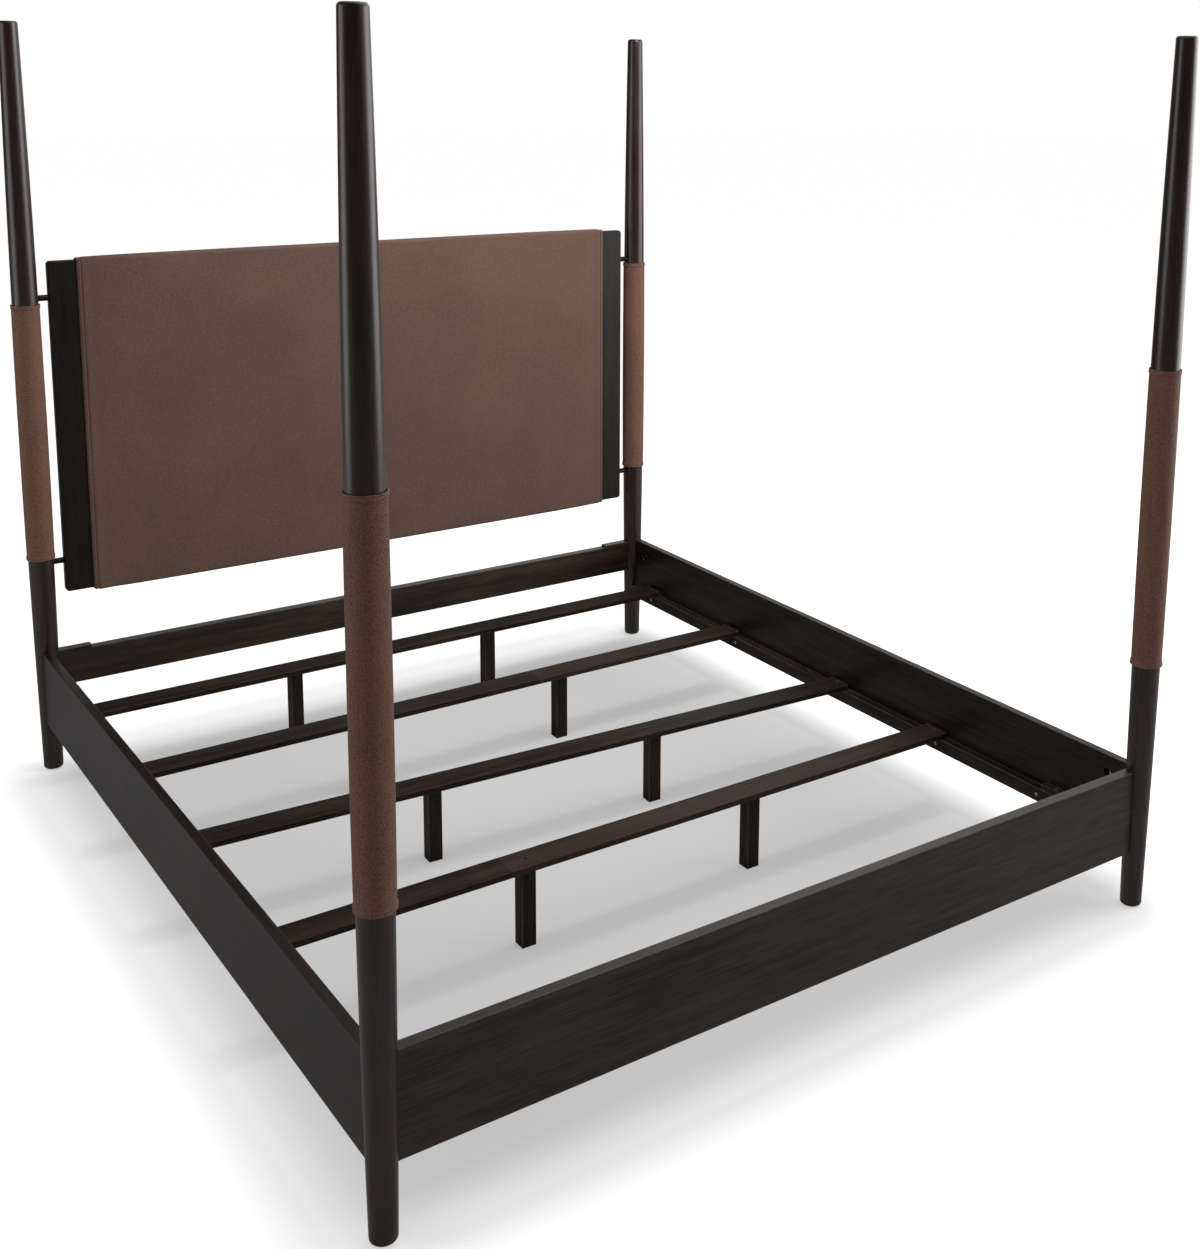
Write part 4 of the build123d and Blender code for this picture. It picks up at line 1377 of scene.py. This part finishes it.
@dataclass
class Studio:
    """The pale floor, the soft lamps and the camera at the photograph's viewing angle."""

    camera_place: tuple[float, float, float] = (-1.86758, -3.28321, 1.92258)
    yaw: float = 0.640399
    pitch: float = 0.176572
    roll: float = 0.017932
    focal: float = 1579.61
    centre: tuple[float, float] = (741.93, 349.45)
    picture: tuple[int, int] = (1200, 1249)
    floor_half: float = 40.0
    # The painted shadow under the bed: its grey, its half size in metres and how far it fades out.
    shade: str = "b6b6b6"
    shade_half: tuple[float, float, float] = (0.85, 0.98, 0.0)
    shade_reach: float = 0.33
    floor_return: float = 0.45
    floor_lit: float = 0.62
    floor_glow: float = 0.76
    white_wall: tuple[float, float, float] = (1.0, 0.15, 0.05)
    room_share: float = 0.06
    fill: float = 0.37

    def build_camera(self) -> bpy.types.Object:
        """Sets the camera where the photograph was taken from.

        Returns:
            The camera.
        """
        seen = bpy.data.cameras.new("photo_camera")
        wide, tall = self.picture
        seen.sensor_width = 36.0
        seen.lens = self.focal * 36.0 / max(wide, tall)
        seen.shift_x = (wide / 2 - self.centre[0]) / max(wide, tall)
        seen.shift_y = (self.centre[1] - tall / 2) / max(wide, tall)
        seen.clip_start, seen.clip_end = 0.05, 200.0
        flat = math.cos(self.pitch)
        ahead = Vector((math.sin(self.yaw) * flat, math.cos(self.yaw) * flat, -math.sin(self.pitch)))
        level = Vector((math.cos(self.yaw), -math.sin(self.yaw), 0.0))
        upright = level.cross(ahead)
        right = level * math.cos(self.roll) + upright * math.sin(self.roll)
        up = upright * math.cos(self.roll) - level * math.sin(self.roll)
        camera = bpy.data.objects.new("photo_camera", seen)
        turn = Matrix((right, up, -ahead)).transposed().to_4x4()
        camera.matrix_world = Matrix.Translation(self.camera_place) @ turn
        bpy.context.scene.collection.objects.link(camera)
        bpy.context.scene.camera = camera
        return camera

    def build_floor(self) -> bpy.types.Object:
        """Lays a white floor with a painted soft grey shadow under the bed.

        Returns:
            The floor, which is not part of the bed.
        """
        signs = ((-1, -1), (1, -1), (1, 1), (-1, 1))
        corners = [Vector((x, y, 0.0)) * self.floor_half for x, y in signs]
        floor = new_object("studio_floor", mesh_from("studio_floor", corners, [[0, 1, 2, 3]]))
        material, add, place = blank_material("white_studio_floor")
        # The grey patch is a painted shadow: it darkens the floor's colour and glow under the bed, and fades
        # out past it.
        spread = add("ShaderNodeVectorMath", {"operation": "ABSOLUTE"}, {0: place})
        past = add("ShaderNodeVectorMath", {"operation": "SUBTRACT"}, {0: spread, 1: self.shade_half})
        outside = add("ShaderNodeVectorMath", {"operation": "MAXIMUM"}, {0: past, 1: (0.0, 0.0, 0.0)})
        far = add("ShaderNodeVectorMath", {"operation": "LENGTH"}, {0: outside})
        clear = add(
            "ShaderNodeMapRange", {"interpolation_type": "SMOOTHSTEP"},
            {0: far.outputs["Value"], 1: 0.0, 2: self.shade_reach},
        )
        colour = add(
            "ShaderNodeMix", {"data_type": "RGBA"},
            {0: clear, 6: linear(self.shade), 7: (1.0, 1.0, 1.0, 1.0)},
        )
        lit = add("ShaderNodeBsdfDiffuse", {}, {"Color": (*[self.floor_return] * 3, 1.0)})
        pale = add(
            "ShaderNodeVectorMath", {"operation": "SCALE"}, {0: colour.outputs[2], 3: self.floor_lit}
        )
        shown = add("ShaderNodeBsdfDiffuse", {}, {"Color": pale})
        glow = add("ShaderNodeEmission", {}, {"Color": colour.outputs[2], "Strength": self.floor_glow})
        both = add("ShaderNodeAddShader", {}, {0: shown, 1: glow})
        rays = add("ShaderNodeLightPath")
        seen = add(
            "ShaderNodeMath", {"operation": "MAXIMUM"},
            {0: rays.outputs["Is Camera Ray"], 1: rays.outputs["Is Transmission Ray"]},
        )
        surface = add("ShaderNodeMixShader", {}, {0: seen, 1: lit, 2: both})
        add("ShaderNodeOutputMaterial", {}, {0: surface})
        floor.data.materials.append(material)
        return floor

    def build_world(self) -> None:
        """Makes the surroundings: white to the eye, a wall that whitens to the right in gloss, even light."""
        world = bpy.data.worlds.new("white_studio")
        bpy.context.scene.world = world
        world.use_nodes = True
        world.node_tree.nodes.clear()
        add = partial(add_node, world.node_tree)
        rays = add("ShaderNodeLightPath")
        seen = add(
            "ShaderNodeMath", {"operation": "MAXIMUM"},
            {0: rays.outputs["Is Camera Ray"], 1: rays.outputs["Is Transmission Ray"]},
        )
        ahead = add("ShaderNodeTexCoord").outputs["Generated"]
        towards = add(
            "ShaderNodeVectorMath", {"operation": "DOT_PRODUCT"},
            {0: ahead, 1: Vector(self.white_wall).normalized()},
        )
        wall = add(
            "ShaderNodeMapRange", {"interpolation_type": "SMOOTHSTEP"},
            {0: towards.outputs["Value"], 1: 0.05, 2: 0.85, 3: self.room_share, 4: 1.0},
        )
        mirrored = add(
            "ShaderNodeMix", {"data_type": "FLOAT"},
            {0: rays.outputs["Is Glossy Ray"], 2: self.fill, 3: wall},
        )
        strength = add("ShaderNodeMix", {"data_type": "FLOAT"}, {0: seen, 2: mirrored, 3: 1.0})
        light = add("ShaderNodeBackground", {}, {"Color": (1.0, 1.0, 1.0, 1.0), "Strength": strength})
        add("ShaderNodeOutputWorld", {}, {0: light})

    def build_lamps(self) -> list[bpy.types.Object]:
        """Hangs the soft lamps.

        Returns:
            The lamps.
        """
        plan = (
            Softbox("overhead_softbox", (0.3, -0.4, 4.2), (0.0, 0.1, 0.4), 3.6, 3.6, 40.0),
            Softbox("right_softbox", (4.3, -2.1, 1.8), (0.0, 0.0, 1.2), 4.0, 3.2, 130.0),
            Softbox("left_softbox", (-4.4, 0.9, 1.8), (0.0, 0.0, 1.2), 2.6, 3.2, 52.0),
            Softbox("headboard_softbox", (0.8, 0.0, 2.6), (0.35, 1.07, 1.3), 0.5, 0.5, 24.0),
        )
        return [softbox.hang() for softbox in plan]

    def build(self) -> None:
        """Builds the whole studio and sets the plain view."""
        self.build_camera()
        self.build_floor()
        self.build_world()
        self.build_lamps()
        bpy.context.scene.view_settings.view_transform = "Standard"


def main() -> None:
    """Builds and dresses the bed, piece by piece."""
    logging.basicConfig(level=logging.INFO, format="%(message)s")
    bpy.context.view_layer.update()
    finishes = Finishes()
    posts = TurnedPosts(finishes.post)
    for post in posts.build():
        log.info("turned %s: %d faces", post.name, len(post.data.polygons))
    rows = StitchRows(finishes.thread)
    for spot, curl in (("front_left", 0.0), ("front_right", 0.0012), ("head_left", 0.0), ("head_right", 0.0)):
        sleeve = LeatherSleeve(spot, finishes.sleeve_leather_brightened, rows, posts.shape, curl).build()
        log.info("sewed %s: %d faces", sleeve.name, len(sleeve.data.polygons))
    pad = PaddedHeadboard(finishes.leather, rows).build()
    log.info("padded %s: %d faces", pad.name, len(pad.data.polygons))
    for screws in WoodScrews(finishes.zinc, finishes.black_steel).build():
        log.info("drove %s: %d faces", screws.name, len(screws.data.polygons))
    log.info("dressed %d packed nodes", FrameBoards(finishes).dress())
    Studio().build()


if __name__ == "__main__":
    main()
